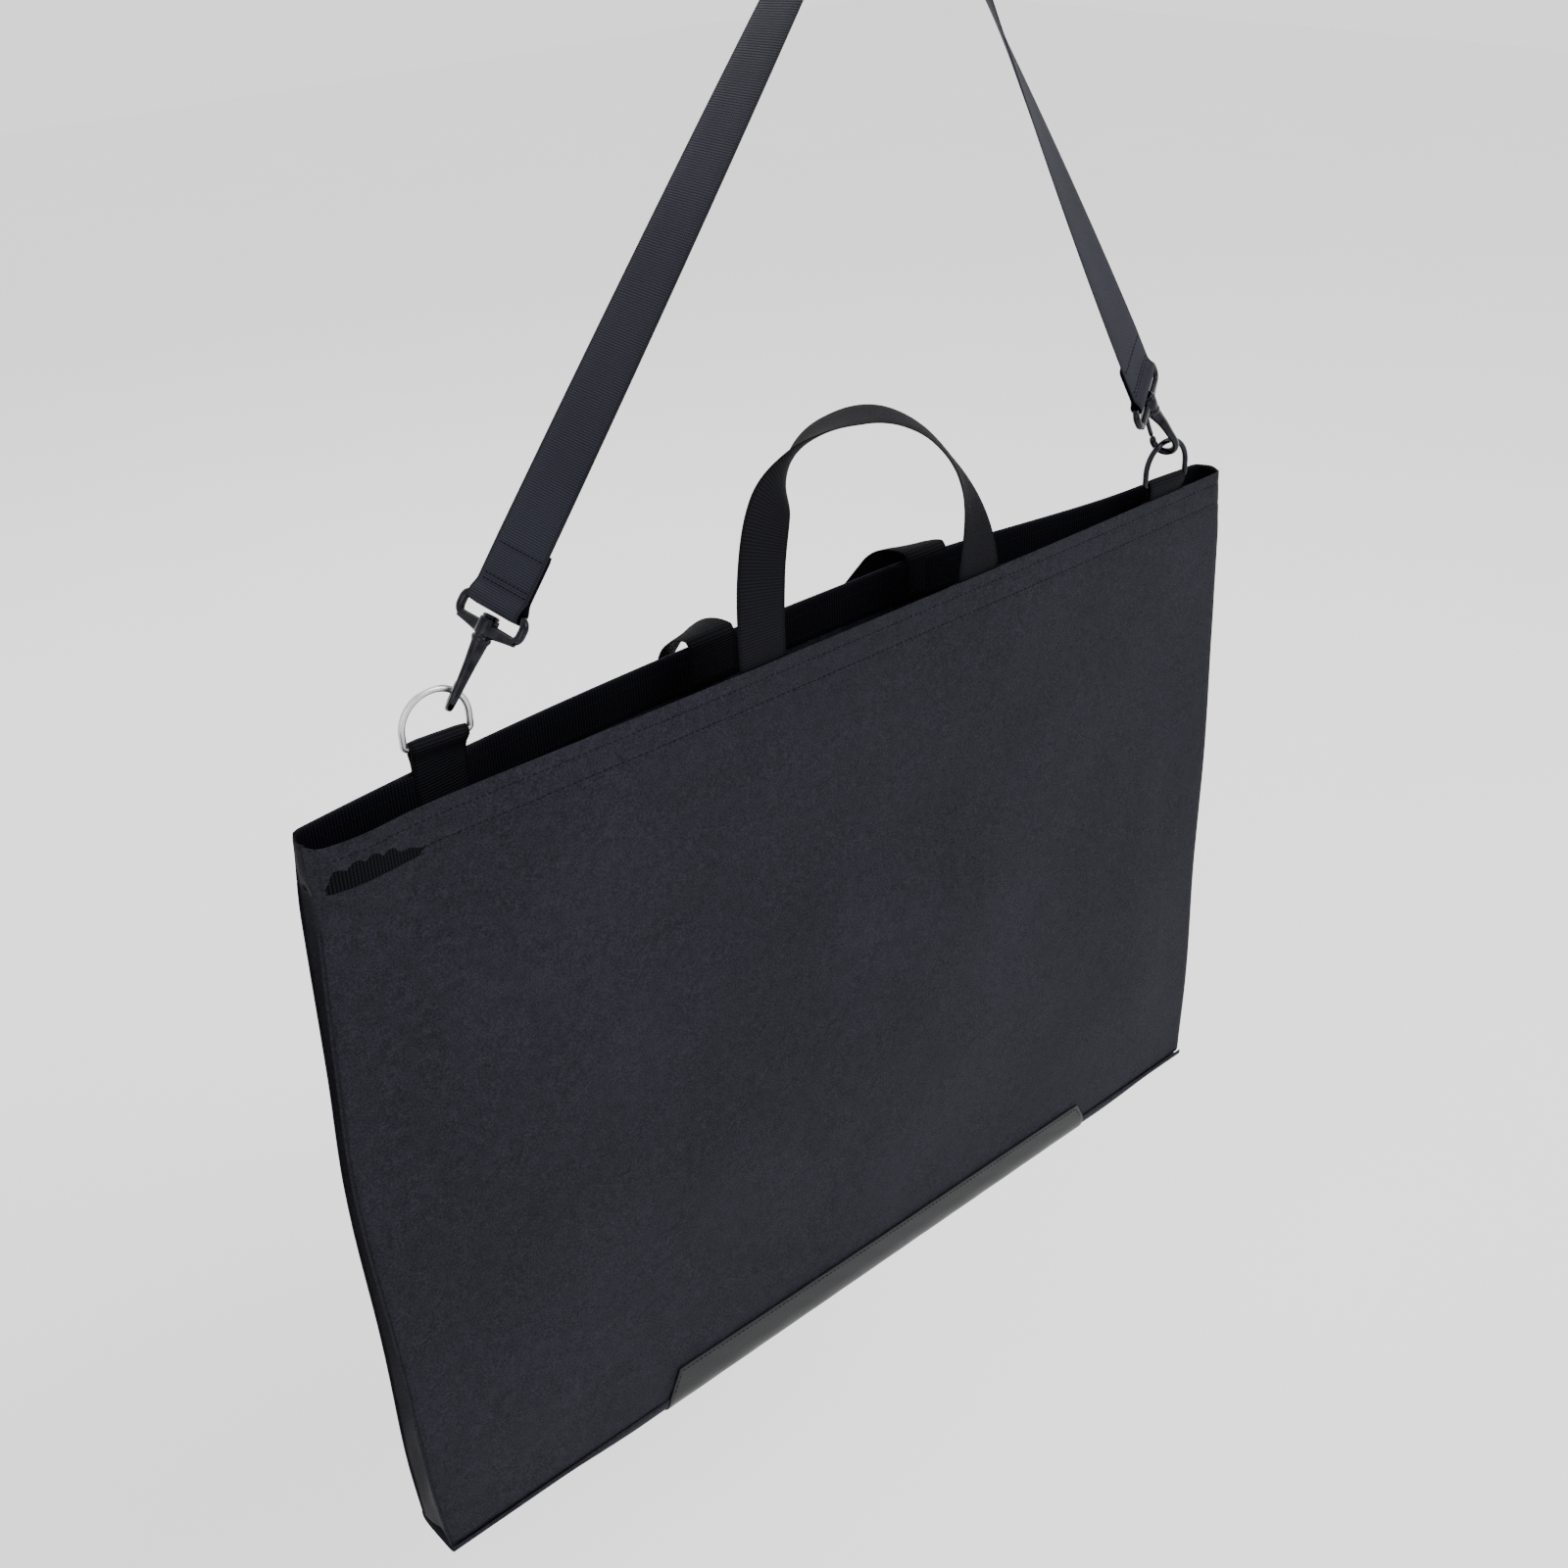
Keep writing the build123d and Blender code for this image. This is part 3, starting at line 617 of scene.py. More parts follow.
def cloth_panel(name, side):
    """One panel from its foot up, over the fold at the mouth and down the turned hem."""
    columns = [-1 + 2 * i / 200 for i in range(201)]
    columns = [math.copysign(abs(s) ** 0.94, s) if s else 0.0 for s in columns]
    hem_start = -34.0
    heights = [mix(FOOT, hem_start, i / 107) for i in range(107)]
    heights += [mix(hem_start, 0.0, i / 14) for i in range(14)]
    rows = []
    uvs = []
    for z in heights:
        row = []
        for s in columns:
            x, y = panel_point(side, s, z)
            row.append(place(x, y + side * hem_dent(s * HALF, z), z))
        rows.append(row)
        uvs.append([(p.x, p.z) for p in row])
    fold = 0.42
    for angle in (0, 30, 60, 90, 120, 150, 180):
        turn = math.radians(angle)
        row = []
        for s in columns:
            x, y = panel_point(side, s, 0)
            y -= side * fold * (1 - math.cos(turn))
            row.append(place(x, y, fold * 1.2 * (math.sin(turn) - 1)))
        rows.append(row)
        uvs.append([(p.x, EDGE_Z + angle / 180 * 0.0012) for p in row])
    for depth in (4, 10, 16, 22):
        row = []
        for s in columns:
            x, y = panel_point(side, s, -depth)
            row.append(place(x, y - side * 2 * fold, -depth))
        rows.append(row)
        uvs.append([(p.x, EDGE_Z + (1.2 + depth) * MM) for p in row])
    obj = link(name, surface(name, rows, uvs), PANEL)
    thicken(obj, 0.4, side)
    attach(obj, "case")
    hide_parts(f"{'front' if side < 0 else 'back'}_panel")


HEM_ROWS = (-8.0, -21.5)
FACING_WIDTH = 25.0


def hem_dent(x, z):
    """Cloth drawn in along the hem's two rows of stitching, and slightly full between them."""
    dent = 0.0
    for row in HEM_ROWS:
        dent -= 0.42 * math.exp(-((z - row) / 1.6) ** 2)
    pucker = 0.16 * math.sin(x * 0.55 + 1.5 * math.sin(x * 0.083)) * math.exp(-((z + 15) / 6) ** 2)
    return dent + pucker


def gusset(name, side):
    """End of the case between its two side seams, folded inwards and wrinkled along the fold."""
    rows = []
    uvs = []
    levels = 139
    steps = 22
    for k in range(levels + 1):
        z = FOOT * k / levels
        radius, share = seam_turn(z)
        depth = on_curve(z, HEIGHTS, END_DEPTH) - share * radius + 1.0
        fold = on_curve(z, FOLD_HEIGHTS, GUSSET_FOLD)
        row = []
        for i in range(steps + 1):
            v = -1 + 2 * i / steps
            crease = 1 - abs(v) ** 1.5
            uneven = mnoise.noise(Vector((v * 1.7, z * 0.045, 9.0 * side)))
            wrinkle = 0.9 * math.sin(z * 0.11 + 2.5 * v) * crease * smooth(-z / 80)
            wrinkle += 0.7 * uneven * crease * smooth(-z / 40)
            x = side * (edge_x(side, z) - 0.4 - fold * crease + wrinkle - 0.6 * abs(v) ** 6)
            row.append(place(x, v * depth, z))
        rows.append(row)
        uvs.append([(p.y, p.z) for p in row])
    # The ends take the darker copy of the panel cloth, which is painted shade.
    obj = link(name, surface(name, rows, uvs), END_CLOTH_PAINTED_SHADE)
    thicken(obj, 0.5, side)
    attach(obj, "case")
    return obj


BASE_HALF = 16.8
BASE_SAG = 16.5
END_SAG = 6.3


def base_end(x):
    """0 along the patch, 1 towards the ends of the base, which are shallower and boxier."""
    return smooth((abs(x - PATCH_MIDDLE) - 185) / 95)


def base_point(x, v, proud=0.0):
    """Point on the rounded bottom; v runs from -1 at the front to 1 at the back."""
    sag = mix(BASE_SAG, END_SAG, base_end(x)) + proud
    squareness = mix(2.0, 4.0, base_end(x))
    y = v * (BASE_HALF + proud)
    z = FOOT - sag * (1 - abs(v) ** squareness) ** (1 / squareness)
    return y, z


def base_cloth():
    rows = []
    uvs = []
    for k in range(133):
        s = -1 + 2 * k / 132
        x = s * (edge_x(s, FOOT) - 0.8)
        row = []
        for i in range(25):
            v = -math.cos(math.pi * i / 24)
            y, z = base_point(x, v)
            row.append(place(x, y, z))
        rows.append(row)
        uvs.append([(p.x, p.y) for p in row])
    obj = link("base_cloth", surface("base_cloth", rows, uvs), PANEL)
    thicken(obj, 0.6, 1.0)
    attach(obj, "case")
    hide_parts("base_gusset")


FLAP_FOOT = FOOT + 1.5
FLAP_TAPER = 12.0
VINYL_THICK = 0.75


def flap_top(side, x):
    """Upper edge of the patch: the front flap is shorter towards the right."""
    if side > 0:
        return PATCH_TOP
    return PATCH_TOP - mix(5.0, 10.0, (x - PATCH_LEFT) / PATCH_LENGTH)


def flap_x(x, z):
    """Both flaps taper at each end towards their upper edge."""
    climb = clamp((z - FOOT) / (PATCH_TOP - FOOT))
    return mix(x, PATCH_MIDDLE, 2 * FLAP_TAPER / PATCH_LENGTH * climb)


def patch_line(x, proud):
    """Section of the vinyl patch at x: front flap, round the bottom, back flap."""
    points = []
    for i in range(9):
        z = mix(flap_top(-1, x), FLAP_FOOT, i / 8)
        points.append((panel_y(-1, x, z) - proud, z))
    for i in range(1, 24):
        points.append(base_point(x, -math.cos(math.pi * i / 24), proud))
    for i in range(9):
        z = mix(FLAP_FOOT, PATCH_TOP, i / 8)
        points.append((panel_y(1, x, z) + proud, z))
    return points


def base_patch():
    rows = []
    uvs = []
    for k in range(97):
        x = mix(PATCH_LEFT, PATCH_RIGHT, k / 96)
        length = 0.0
        row = []
        uv = []
        previous = None
        for y, z in patch_line(x, VINYL_THICK):
            wave = 0.35 * math.sin(x * 0.09 + z * 0.2) * smooth((PATCH_TOP - z) / 8)
            point = place(flap_x(x, z), y + math.copysign(wave, y) * 0.4, z)
            if previous is not None:
                length += (point - previous).length
            previous = point
            row.append(point)
            uv.append((point.x, length))
        rows.append(row)
        uvs.append(uv)
    obj = link("base_vinyl", surface("base_vinyl", rows, uvs), VINYL)
    thicken(obj, VINYL_THICK, 1.0)
    bevel = obj.modifiers.new("edge", "BEVEL")
    bevel.width = 0.25 * MM
    bevel.segments = 2
    bevel.angle_limit = math.radians(50)
    apply_modifiers(obj)
    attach(obj, "case")
    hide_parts("base_patch")


HANDLE_X = (joint_place("front_handle_fold").x - MIDDLE_X) / MM
FEET = [HANDLE_X - SPAN / 2, HANDLE_X + SPAN / 2]
LEFT_TAB_X = (joint_place("left_ring_turn").x - MIDDLE_X) / MM
RIGHT_TAB_X = (joint_place("right_ring_turn").x - MIDDLE_X) / MM
FACING_STAND = 1.35
FACING_THICK = 1.1


def facing_stand(side, x):
    """How far the facing stands off the folded cloth: further where webbing ends lie under it."""
    lumps = FEET + [RIGHT_TAB_X if side < 0 else LEFT_TAB_X]
    return FACING_STAND + max(1.9 * (1 - smooth((abs(x - lump) - 15) / 16)) for lump in lumps)


def mouth_outline():
    """Closed outline of the mouth, seen from above anticlockwise: (x, y, side), side 0 at the ends."""
    outline = []
    count = 170
    for side in (-1, 1):
        for i in range(count + 1):
            s = -side * math.sin(math.pi / 2 * (-1 + 2 * i / count))
            x, y = panel_point(side, s, 0)
            outline.append((x, y, side))
        x, y, _ = outline[-1]
        for v in (0.6, 0.2, -0.2, -0.6):
            outline.append((x - side * 1.2 * (1 - v * v), y * v, 0))
    return outline


def facing():
    """Webbing sewn round the inside of the mouth, its upper and lower edges tucked in."""
    rows = []
    uvs = []
    outline = mouth_outline()
    depths = [-0.9, -1.4, -4, -7, -10, -13, -16, -19, -22, 0.6 - FACING_WIDTH, -FACING_WIDTH]
    for z in depths:
        tuck = 0.35 if z in (depths[0], depths[-1]) else 0.0
        row = []
        for i, (x, y, side) in enumerate(outline):
            before = outline[i - 2]
            after = outline[(i + 2) % len(outline)]
            along = Vector((after[0] - before[0], after[1] - before[1], 0)).normalized()
            stand = (facing_stand(side, x) if side else FACING_STAND) - tuck
            row.append(place(x - along.y * stand, y + along.x * stand, z))
        rows.append(row)
    total = 0.0
    lengths = []
    for i, point in enumerate(rows[0]):
        if i:
            total += (point - rows[0][i - 1]).length
        lengths.append(total)
    for z in depths:
        uvs.append([(length, (z + FACING_WIDTH / 2) * MM) for length in lengths])
    obj = link("mouth_facing", surface("mouth_facing", rows, uvs, closed_u=True), FACING_BLACK_AND_SHADED)
    thicken(obj, FACING_THICK, 0.0)
    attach(obj, "case")
    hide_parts("front_facing", "rear_facing", "left_end_facing", "right_end_facing")


cloth_panel("front_cloth", -1)
cloth_panel("back_cloth", 1)
for name, side in (("left", -1), ("right", 1)):
    piece = gusset(f"{name}_end_cloth", side)
    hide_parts(f"{name}_gusset")
base_cloth()
base_patch()
facing()

# ---- Stitching on the case ----

def hem_thread(side, z):
    points = []
    normals = []
    for i in range(161):
        s = -0.985 + 1.97 * i / 160
        x, y = panel_point(side, s, z)
        points.append(place(x, y + side * hem_dent(s * HALF, z), z))
        normals.append(Vector((0, side, 0)))
    return points, normals


def facing_thread(side, z):
    points = []
    normals = []
    for i in range(161):
        x = mix(-HALF + 12, HALF - 12, i / 160)
        y = panel_y(side, x, 0) - side * (facing_stand(side, x) + FACING_THICK / 2)
        points.append(place(x, y, z))
        normals.append(Vector((0, -side, 0)))
    return points, normals


stitches("hem_stitches", [hem_thread(side, z) for side in (-1, 1) for z in HEM_ROWS], "case")
stitches("facing_stitches", [facing_thread(side, z) for side in (-1, 1) for z in HEM_ROWS], "case")


def patch_threads():
    rows = []
    inset = 2.6
    for side in (-1, 1):
        left = PATCH_LEFT + inset
        right = PATCH_RIGHT - inset
        foot = FOOT + 3
        line = [(left, foot), (left, flap_top(side, left) - inset),
                (right, flap_top(side, right) - inset), (right, foot)]
        for (x0, z0), (x1, z1) in zip(line, line[1:]):
            points = []
            normals = []
            count = 60 if x0 != x1 else 8
            for i in range(count + 1):
                x = mix(x0, x1, i / count)
                z = mix(z0, z1, i / count)
                points.append(place(flap_x(x, z), panel_y(side, x, z) + side * 1.5, z))
                normals.append(Vector((0, side, 0)))
            rows.append((points, normals))
    return rows


stitches("patch_stitches", patch_threads(), "case", pitch=3.4, stitch=2.6)

# ---- Carry handles ----

HANDLE_POWER = 2.3
FRONT_LEAN = math.radians(24)
# Degrees each handle has turned about its own length, by each part of the way along it
FRONT_TWIST = ([0, 0.12, 0.24, 0.32, 0.4, 0.5, 0.6, 0.7, 0.82, 1],
               [0, 0, 11, 47, 82, 108, 121, 125, 131, 180])
REAR_TWIST = ([0, 0.15, 0.5, 0.85, 1], [0, -45, -90, -45, 0])
REAR_START = math.radians(66)
REAR_HANG = math.radians(168)
REAR_BEND = 15.0
REAR_SKEW = 0.5


def signed_power(value, power):
    return math.copysign(abs(value) ** power, value)


def standing(height):
    """Stands up from its fold and curls back a little towards its crest."""
    radius = RISE / FRONT_LEAN
    lean = height / radius
    return 0.0, radius * (1 - math.cos(lean)), radius * math.sin(lean), lean


def hanging(height):
    """Bends over backwards just above the hem and hangs behind the case, a little to the left."""
    turned = min(height / REAR_BEND, REAR_HANG - REAR_START)
    lean = REAR_START + turned
    rest = height - turned * REAR_BEND
    y = REAR_BEND * (math.cos(REAR_START) - math.cos(lean)) + rest * math.sin(lean)
    z = REAR_BEND * (math.sin(lean) - math.sin(REAR_START)) + rest * math.cos(lean)
    return -REAR_SKEW * height, y, z, lean


def handle_station(t, origin, drape, twist):
    turn = math.pi * t
    c = math.cos(turn)
    s = math.sin(turn)
    x = -SPAN / 2 * signed_power(c, 2 / HANDLE_POWER)
    height = RISE * abs(s) ** (2 / HANDLE_POWER)
    skew, y, z, lean = drape(height)
    run = SPAN / 2 * abs(c) ** (2 / HANDLE_POWER - 1) * s
    climb = RISE * s ** (2 / HANDLE_POWER - 1) * c
    size = math.hypot(run, climb)
    run, climb = run / size, climb / size
    upward = Vector((0, math.sin(lean), math.cos(lean)))
    normal = Vector((0, math.cos(lean), -math.sin(lean)))
    sideways = Vector((1, 0, 0))
    along = sideways * run + upward * climb
    flat = upward * run - sideways * climb
    slant = math.radians(on_curve(t, *twist))
    across = (flat * math.cos(slant) - normal * math.sin(slant)).normalized()
    face = along.cross(across).normalized()
    return origin + Vector((x + skew, y, z)) * MM, across, face


def sewn_end(station, origin):
    """Stations straight down in the hem below one end of a handle, deepest first."""
    centre, across, face = station
    across = Vector((math.copysign(1, across.x), 0, 0))
    face = Vector((0, math.copysign(1, face.y), 0))
    return [(Vector((centre.x, origin.y, origin.z - depth * MM)), across, face)
            for depth in (23, 18, 12, 6, 2)]


def handle(name, joint, drape, twist):
    origin = joint_place(joint)
    first = 0.004
    samples = 260
    loop = [handle_station(mix(first, 1 - first, i / samples), origin, drape, twist)
            for i in range(samples + 1)]
    stations = sewn_end(loop[0], origin) + loop + sewn_end(loop[-1], origin)[::-1]
    return band(name, resample(stations), WEB, WEB_THICK, WEBBING, cup=0.25)


def resample(stations):
    """Evenly spaced stations along a band, with their directions blended."""
    lengths = [0.0]
    for a, b in zip(stations, stations[1:]):
        lengths.append(lengths[-1] + (b[0] - a[0]).length)
    count = max(2, int(lengths[-1] / BAND_STEP))
    result = []
    i = 0
    for k in range(count + 1):
        distance = lengths[-1] * k / count
        while i < len(stations) - 2 and lengths[i + 1] < distance:
            i += 1
        t = clamp((distance - lengths[i]) / max(lengths[i + 1] - lengths[i], 1e-12))
        centre = stations[i][0].lerp(stations[i + 1][0], t)
        across = stations[i][1].lerp(stations[i + 1][1], t).normalized()
        face = stations[i][2].lerp(stations[i + 1][2], t)
        face = (face - across * face.dot(across)).normalized()
        result.append((centre, across, face))
    return result


piece = handle("front_handle_band", "front_handle_fold", standing, FRONT_TWIST)
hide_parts("front_handle", "front_handle_feet")
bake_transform(piece)
piece = handle("rear_handle_band", "rear_handle_fold", hanging, REAR_TWIST)
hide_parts("rear_handle", "rear_handle_feet")
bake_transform(piece)

# ---- Ring tabs: webbing up from the hem, round the ring's bar and back down ----

WIRE = 1.75
TAB_DEPTH = 22.0
TAB_PLY = 0.66


def ring_tab(name, side, joint, foot_x):
    bar = joint_place(joint)
    axis = joint_axis(joint)
    hem_y = panel_y(side, foot_x, 0) - side * 2.6
    slope = (panel_y(side, foot_x + 10, 0) - panel_y(side, foot_x - 10, 0)) / 20
    hem_axis = Vector((1, slope, 0)).normalized()
    foot = place(foot_x, hem_y, 0)
    radius = (WIRE + 0.1 + WEB_THICK / 2) * MM

    def station(height, shift, face):
        t = smooth(height / (bar.z - foot.z)) if height > 0 else 0.0
        across = hem_axis.lerp(axis, t).normalized()
        out = across.cross(Vector((0, 0, 1))).normalized()
        centre = foot.lerp(Vector((bar.x, bar.y, foot.z)), t) + Vector((0, 0, height))
        return centre + out * shift, across, out * face

    def leg(face):
        """Up one side of the tab, which opens out to the bar's radius at the top."""
        heights = [mix(-TAB_DEPTH * MM, top - 0.0015, k / 12) for k in range(13)]
        spreads = [mix(TAB_PLY * MM, radius, smooth((height - top + 0.007) / 0.0055)) for height in heights]
        return [station(height, face * spread, face) for height, spread in zip(heights, spreads)]

    top = bar.z - foot.z
    stations = leg(1)
    out = axis.cross(Vector((0, 0, 1))).normalized()
    for k in range(1, 12):
        angle = math.pi * k / 12
        direction = out * math.cos(angle) + Vector((0, 0, 1)) * math.sin(angle)
        stations.append((bar + direction * radius, axis, direction))
    stations += leg(-1)[::-1]
    obj = band(name, resample(stations), WEB, WEB_THICK - 0.15, WEBBING)
    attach(obj, "case")
    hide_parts(name.replace("_webbing", ""))


ring_tab("left_ring_tab_webbing", 1, "left_ring_turn", LEFT_TAB_X)
ring_tab("right_ring_tab_webbing", -1, "right_ring_turn", RIGHT_TAB_X)

# ---- Shoulder strap ----

PEG = 28.0
APEX_TWIST = 22.0
LEG_TWIST = {"left": -7.5, "right": 69.0}
SEWN = 32.0
BAR = 2.0
PEG_CENTRE = Vector((0, 0, -PEG * MM))
PEG_RADIUS = (PEG + STRAP_THICK / 2) * MM
STITCH_HEIGHTS = (9.0, 12.0, SEWN - 4.0)


def twist_direction(angle):
    return Vector((math.sin(math.radians(angle)), math.cos(math.radians(angle)), 0))


def square_to(along, wanted):
    return (wanted - along * wanted.dot(along)).normalized()


def towards(vector, wanted):
    """The vector, or its reverse where that points more nearly the wanted way."""
    return -vector if vector.dot(wanted) < 0 else vector


def strap_leg(name):
    """Stations from the sewn tail, round the bail's bar and up to the round it hangs over."""
    bar = joint_place(f"{name}_bail_tilt")
    axis = joint_axis(f"{name}_bail_tilt")
    up = joint_axis(f"{name}_hook_swivel")
    end = -1 if name == "left" else 1
    reach = bar - PEG_CENTRE
    angle = math.atan2(reach.z, reach.x) + end * math.acos(PEG_RADIUS / math.hypot(reach.x, reach.z))
    angle = angle % (2 * math.pi)
    touch = PEG_CENTRE + Vector((math.cos(angle), 0, math.sin(angle))) * PEG_RADIUS
    out = towards(axis.cross(up).normalized(), Vector((end, 0, 0)))
    loop = (BAR + 0.1 + STRAP_THICK / 2) * MM
    ply = (STRAP_THICK / 2 + 0.02) * MM
    stations = []
    for k in range(24):
        height = mix(SEWN, 1.0, k / 23)
        spread = mix(ply, loop, smooth((8.0 - height) / 6.5))
        spread -= 0.6 * ply * smooth((height - SEWN + 3.0) / 3.0)
        stations.append((bar + up * (height * MM) - out * spread, axis, -out))
    for k in range(1, 14):
        turn = math.pi * k / 14
        direction = -out * math.cos(turn) - up * math.sin(turn)
        stations.append((bar + direction * loop, axis, direction))
    for k in range(16):
        height = mix(0.001, SEWN * MM, k / 15)
        spread = mix(ply, loop, smooth((0.008 - height) / 0.0065))
        stations.append((bar + up * height + out * spread, axis, out))
    low = bar + up * (SEWN * MM) + out * ply
    leg = (touch - low).length
    twist = LEG_TWIST[name]
    along = (touch - low).normalized()
    for k in range(1, 41):
        t = k / 40
        turn = twist + (APEX_TWIST - twist) * (0.35 * t + 0.65 * t * t)
        across = towards(square_to(along, twist_direction(turn)), axis)
        flat = towards(across.cross(along).normalized(), out)
        stations.append((low + along * leg * t, across, flat))
    return stations, angle


def shoulder_strap():
    stations, left_angle = strap_leg("left")
    right, right_angle = strap_leg("right")
    for k in range(1, 24):
        angle = mix(left_angle, right_angle, k / 24)
        direction = Vector((math.cos(angle), 0, math.sin(angle)))
        along = Vector((math.sin(angle), 0, -math.cos(angle)))
        across = square_to(along, twist_direction(APEX_TWIST))
        face = towards(across.cross(along).normalized(), direction)
        stations.append((PEG_CENTRE + direction * PEG_RADIUS, across, face))
    stations += right[::-1]
    even = [stations[0]]
    for centre, across, face in stations[1:]:
        even.append((centre, towards(across, even[-1][1]), face))
    obj = band("strap_band", resample(even), STRAP_WEB, STRAP_THICK, STRAP, cup=0.2)
    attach(obj, "strap")
    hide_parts("shoulder_strap")


def strap_threads(name):
    """Rows of stitches across both faces of one end's sewn tail."""
    bar = joint_place(f"{name}_bail_tilt")
    axis = joint_axis(f"{name}_bail_tilt")
    up = joint_axis(f"{name}_hook_swivel")
    out = axis.cross(up).normalized()
    rows = []
    for side in (-1, 1):
        for height in STITCH_HEIGHTS:
            middle = bar + up * (height * MM) + out * (side * (STRAP_THICK + 0.05) * MM)
            ends = [middle + axis * (a * (STRAP_WEB / 2 - 2.0) * MM) for a in (-1, 1)]
            rows.append((ends, [out * side, out * side]))
    return rows


shoulder_strap()
for name in ("left", "right"):
    stitches(f"{name}_strap_stitches", strap_threads(name), "strap", pitch=3.0, stitch=2.3)

# ---- Metal ----

def repaint(node, material):
    obj = frame["nodes"][node]
    obj.data.materials.clear()
    obj.data.materials.append(material)
    for polygon in obj.data.polygons:
        polygon.material_index = 0


def smooth_path(points):
    """Points on a smooth curve through the given ones (Catmull-Rom), each with its radii."""
    steps = 6
    result = []
    last = len(points) - 1
    for i in range(last):
        p0, p1, p2, p3 = (points[max(min(k, last), 0)] for k in (i - 1, i, i + 1, i + 2))
        for k in range(steps):
            t = k / steps
            result.append([0.5 * (2 * b + (c - a) * t + (2 * a - 5 * b + 4 * c - d) * t * t
                                  + (3 * b - a - 3 * c + d) * t ** 3)
                           for a, b, c, d in zip(p0, p1, p2, p3)])
    result.append(list(points[last]))
    return result


class Axes:
    """Places a point given in millimetres along three directions from an origin."""

    def __init__(self, origin, x, y, z):
        self.origin = origin
        self.x = x
        self.y = y
        self.z = z

    def at(self, x, y, z):
        return self.origin + (self.x * x + self.y * y + self.z * z) * MM


def fitting_axes(name):
    """Axes of one end's bail and of its hook, both from the middle of the bail's lower bar."""
    lower = joint_place(f"{name}_hook_swivel")
    up = joint_axis(f"{name}_hook_swivel")
    bar = joint_axis(f"{name}_bail_tilt")
    thickness = joint_axis(f"{name}_gate_opening")
    return Axes(lower, bar, up.cross(bar), up), Axes(lower, thickness.cross(up), thickness, up)


BAIL_HALF = 23.0
BAIL_RISE = 11.4
HUB = 5.0
HOOK_REACH = 35.0
GATE_TIP = 27.5


def bail(name):
    axes, _ = fitting_axes(name)
    corner = 4.5
    points = []
    radii = []
    corners = ((1, 1, 0), (-1, 1, 90), (-1, 0, 180), (1, 0, 270))
    for side, top, start in corners:
        cx = side * (BAIL_HALF - corner)
        cz = BAIL_RISE - corner if top else corner
        for k in range(9):
            angle = math.radians(start + 90 * k / 8)
            points.append(axes.at(cx + corner * math.cos(angle), 0, cz + corner * math.sin(angle)))
            stout = math.cos(2 * angle) * 0.5 + 0.5
            radii.append((mix(1.95, 2.35, stout), mix(1.95, 2.1, stout)))
    meshes = [tube("ring", points, radii, axes.y, power=2.3, closed=True)]
    for side in (-1, 1):
        plate = smooth_path([(21, -0.1, 2.2, 1.7), (14, -0.5, 2.7, 1.75), (8, -0.9, 3.2, 1.85),
                             (3.5, -1.2, 3.9, 2.1)])
        points = [axes.at(side * x, 0, z) for x, z, _, _ in plate]
        meshes.append(tube("wing", points, [(a, b) for _, _, a, b in plate], axes.y, power=3.0))
    barrel = [(-4.5, 4.3), (-4.2, 4.8), (-3.7, HUB), (0, HUB + 0.1), (3.7, HUB), (4.2, 4.8), (4.5, 4.3)]
    points = [axes.at(0, 0, z) for z, _ in barrel]
    meshes.append(tube("hub", points, [(r, r) for _, r in barrel], axes.y, sides=32))
    cast(f"{name}_bail_casting", meshes, BLACK_NICKEL, f"{name}_bail_body", [f"{name}_bail"])


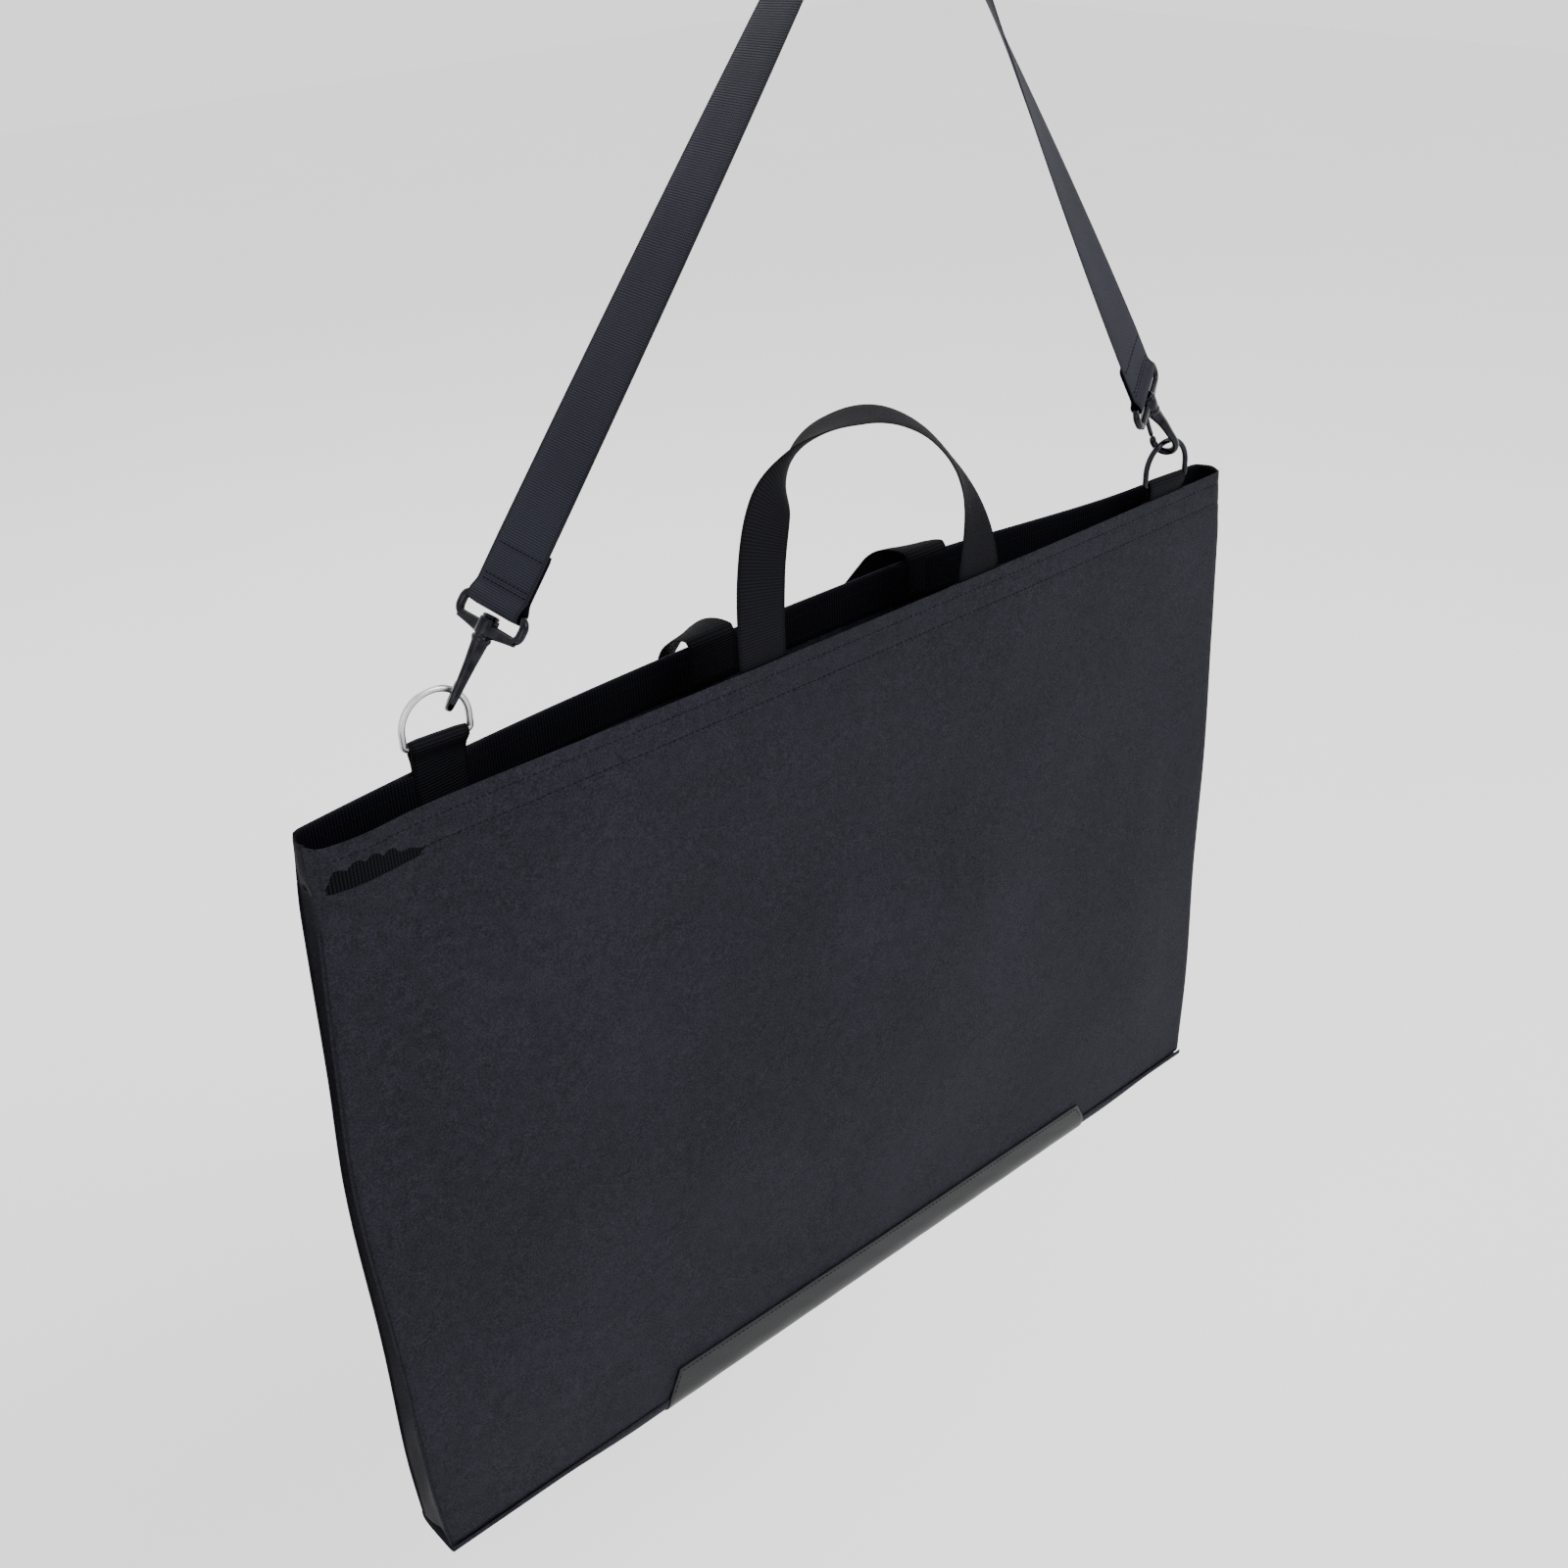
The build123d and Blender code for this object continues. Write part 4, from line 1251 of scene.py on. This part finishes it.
def hook(name):
    _, axes = fitting_axes(name)
    body = f"{name}_hook_body"

    def solid(label, stations, **settings):
        points = [axes.at(x, 0, z) for x, z, _, _ in stations]
        return tube(label, points, [(a, b) for _, _, a, b in stations], axes.y, **settings)

    # Each station: place across and along the hook, and the section's two radii
    bend = -HOOK_REACH
    spine = [(0.2, -5.6, 4.9, 4.6), (-0.7, -8.5, 4.1, 4.2), (-2.4, -13.5, 3.1, 3.7), (-4.2, -20, 2.6, 3.1),
             (-5.6, -28, 2.2, 2.6), (-6.6, bend + 1, 2.0, 2.3)]
    for angle in (205, 230, 255, 285, 310, 335):
        turn = math.radians(angle)
        spine.append((6.7 * math.cos(turn), bend + 7.7 * math.sin(turn), 2.1, 2.1))
    spine += [(6.9, bend + 1.4, 2.1, 2.2), (6.6, bend + 4, 2.0, 2.2), (6.4, bend + 5.4, 1.5, 1.7),
              (6.35, bend + 5.9, 0.8, 1.0)]
    meshes = [solid("spine", smooth_path(spine), power=2.3)]
    collar = [(0, -4.8, 4.4, 4.4), (0, -5.1, 4.9, 4.9), (0, -6.2, 5.1, 5.1), (0.3, -7.6, 4.8, 4.6),
              (0.6, -8.3, 4.0, 3.8)]
    meshes.append(solid("collar", collar, sides=32))
    cap = [(0, 4.7, 4.2, 4.2), (0, 4.9, 4.4, 4.4), (0, 5.5, 4.3, 4.3), (0, 6.0, 3.9, 3.9),
           (0, 6.3, 2.9, 2.9)]
    meshes.append(solid("cap", cap, sides=32))
    for y in (-2.5, 2.5):
        ear = smooth_path([(4.2, -6.6, 1.6, 0.6), (4.9, -8.6, 2.3, 0.65), (5.0, -10.4, 2.2, 0.65),
                           (4.9, -12.0, 1.2, 0.5)])
        points = [axes.at(x, y, z) for x, z, _, _ in ear]
        meshes.append(tube("ear", points, [(a, b) for _, _, a, b in ear], axes.y, power=2.6))
    pin = [(-3.5, 0.5), (-3.3, 0.85), (3.3, 0.85), (3.5, 0.5)]
    meshes.append(tube("pin", [axes.at(4.8, y, -9.9) for y, _ in pin], [(r, r) for _, r in pin], axes.x))
    cast(f"{name}_hook_casting", meshes, BLACK_NICKEL, body, [f"{name}_hook", f"{name}_gate_pin"])
    blade = [(4.8, -8.6, 0.9, 1.3), (4.8, -9.2, 1.5, 1.5), (5.0, -11.5, 1.6, 1.5), (5.7, -19, 1.35, 1.45),
             (6.3, 0.9 - GATE_TIP, 1.3, 1.4), (6.4, -GATE_TIP, 0.8, 1.0)]
    cast(f"{name}_gate_blade", [solid("blade", smooth_path(blade), power=2.6)], BLACK_NICKEL,
         f"{name}_gate_body", [f"{name}_gate"])


repaint("left_d_ring", NICKEL)
repaint("right_d_ring", BLACK_NICKEL)
for name in ("left", "right"):
    bail(name)
    hook(name)

# ---- Floor, light and camera ----

FLOOR_SIZE = 14
FLOOR_DROP = 0.35
WORLD_STRENGTH = 1.5
SENSOR = 36.0
LENS = 42.54
CAMERA_PLACE = (-628.1, -691.0, 428.6)
# Degrees the camera is turned from the front towards the left end, looks down, and leans
CAMERA_TURN = -40.19
CAMERA_DOWN = 29.67
CAMERA_LEAN = -2.47

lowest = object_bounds()[0].z
bpy.ops.mesh.primitive_plane_add(size=FLOOR_SIZE, location=(0, 0, lowest - FLOOR_DROP))
floor = bpy.context.object
floor.name = "floor"
floor.data.materials.append(floor_material())

world = bpy.data.worlds.new("studio")
bpy.context.scene.world = world
world.use_nodes = True
background = world.node_tree.nodes["Background"].inputs
background["Color"].default_value = (1.0, 1.0, 1.0, 1)
background["Strength"].default_value = WORLD_STRENGTH


def area_light(name, location, target, size, power):
    data = bpy.data.lights.new(name, "AREA")
    data.shape = "RECTANGLE"
    data.size = size[0]
    data.size_y = size[1]
    data.energy = power
    light = bpy.data.objects.new(name, data)
    bpy.context.scene.collection.objects.link(light)
    light.location = location
    direction = Vector(target) - Vector(location)
    light.rotation_euler = direction.to_track_quat("-Z", "Y").to_euler()


centre = (MIDDLE_X, 0, EDGE_Z - 0.2)
area_light("key", (1.2, -1.8, 1.4), centre, (1.6, 1.6), 60)
area_light("fill", (-2.2, -1.2, 0.6), centre, (1.8, 1.8), 16)
area_light("back", (0.6, 2.2, 1.2), centre, (1.6, 1.2), 30)

camera_data = bpy.data.cameras.new("camera")
camera_data.sensor_width = SENSOR
camera_data.lens = LENS
camera_data.clip_end = 50
camera = bpy.data.objects.new("camera", camera_data)
bpy.context.scene.collection.objects.link(camera)
turn = Matrix.Rotation(math.radians(CAMERA_TURN), 4, "Z")
tilt = Matrix.Rotation(math.radians(90 - CAMERA_DOWN), 4, "X")
roll = Matrix.Rotation(math.radians(CAMERA_LEAN), 4, "Z")
spot = Matrix.Translation(place(*CAMERA_PLACE))
camera.matrix_world = spot @ turn @ tilt @ roll
bpy.context.scene.camera = camera
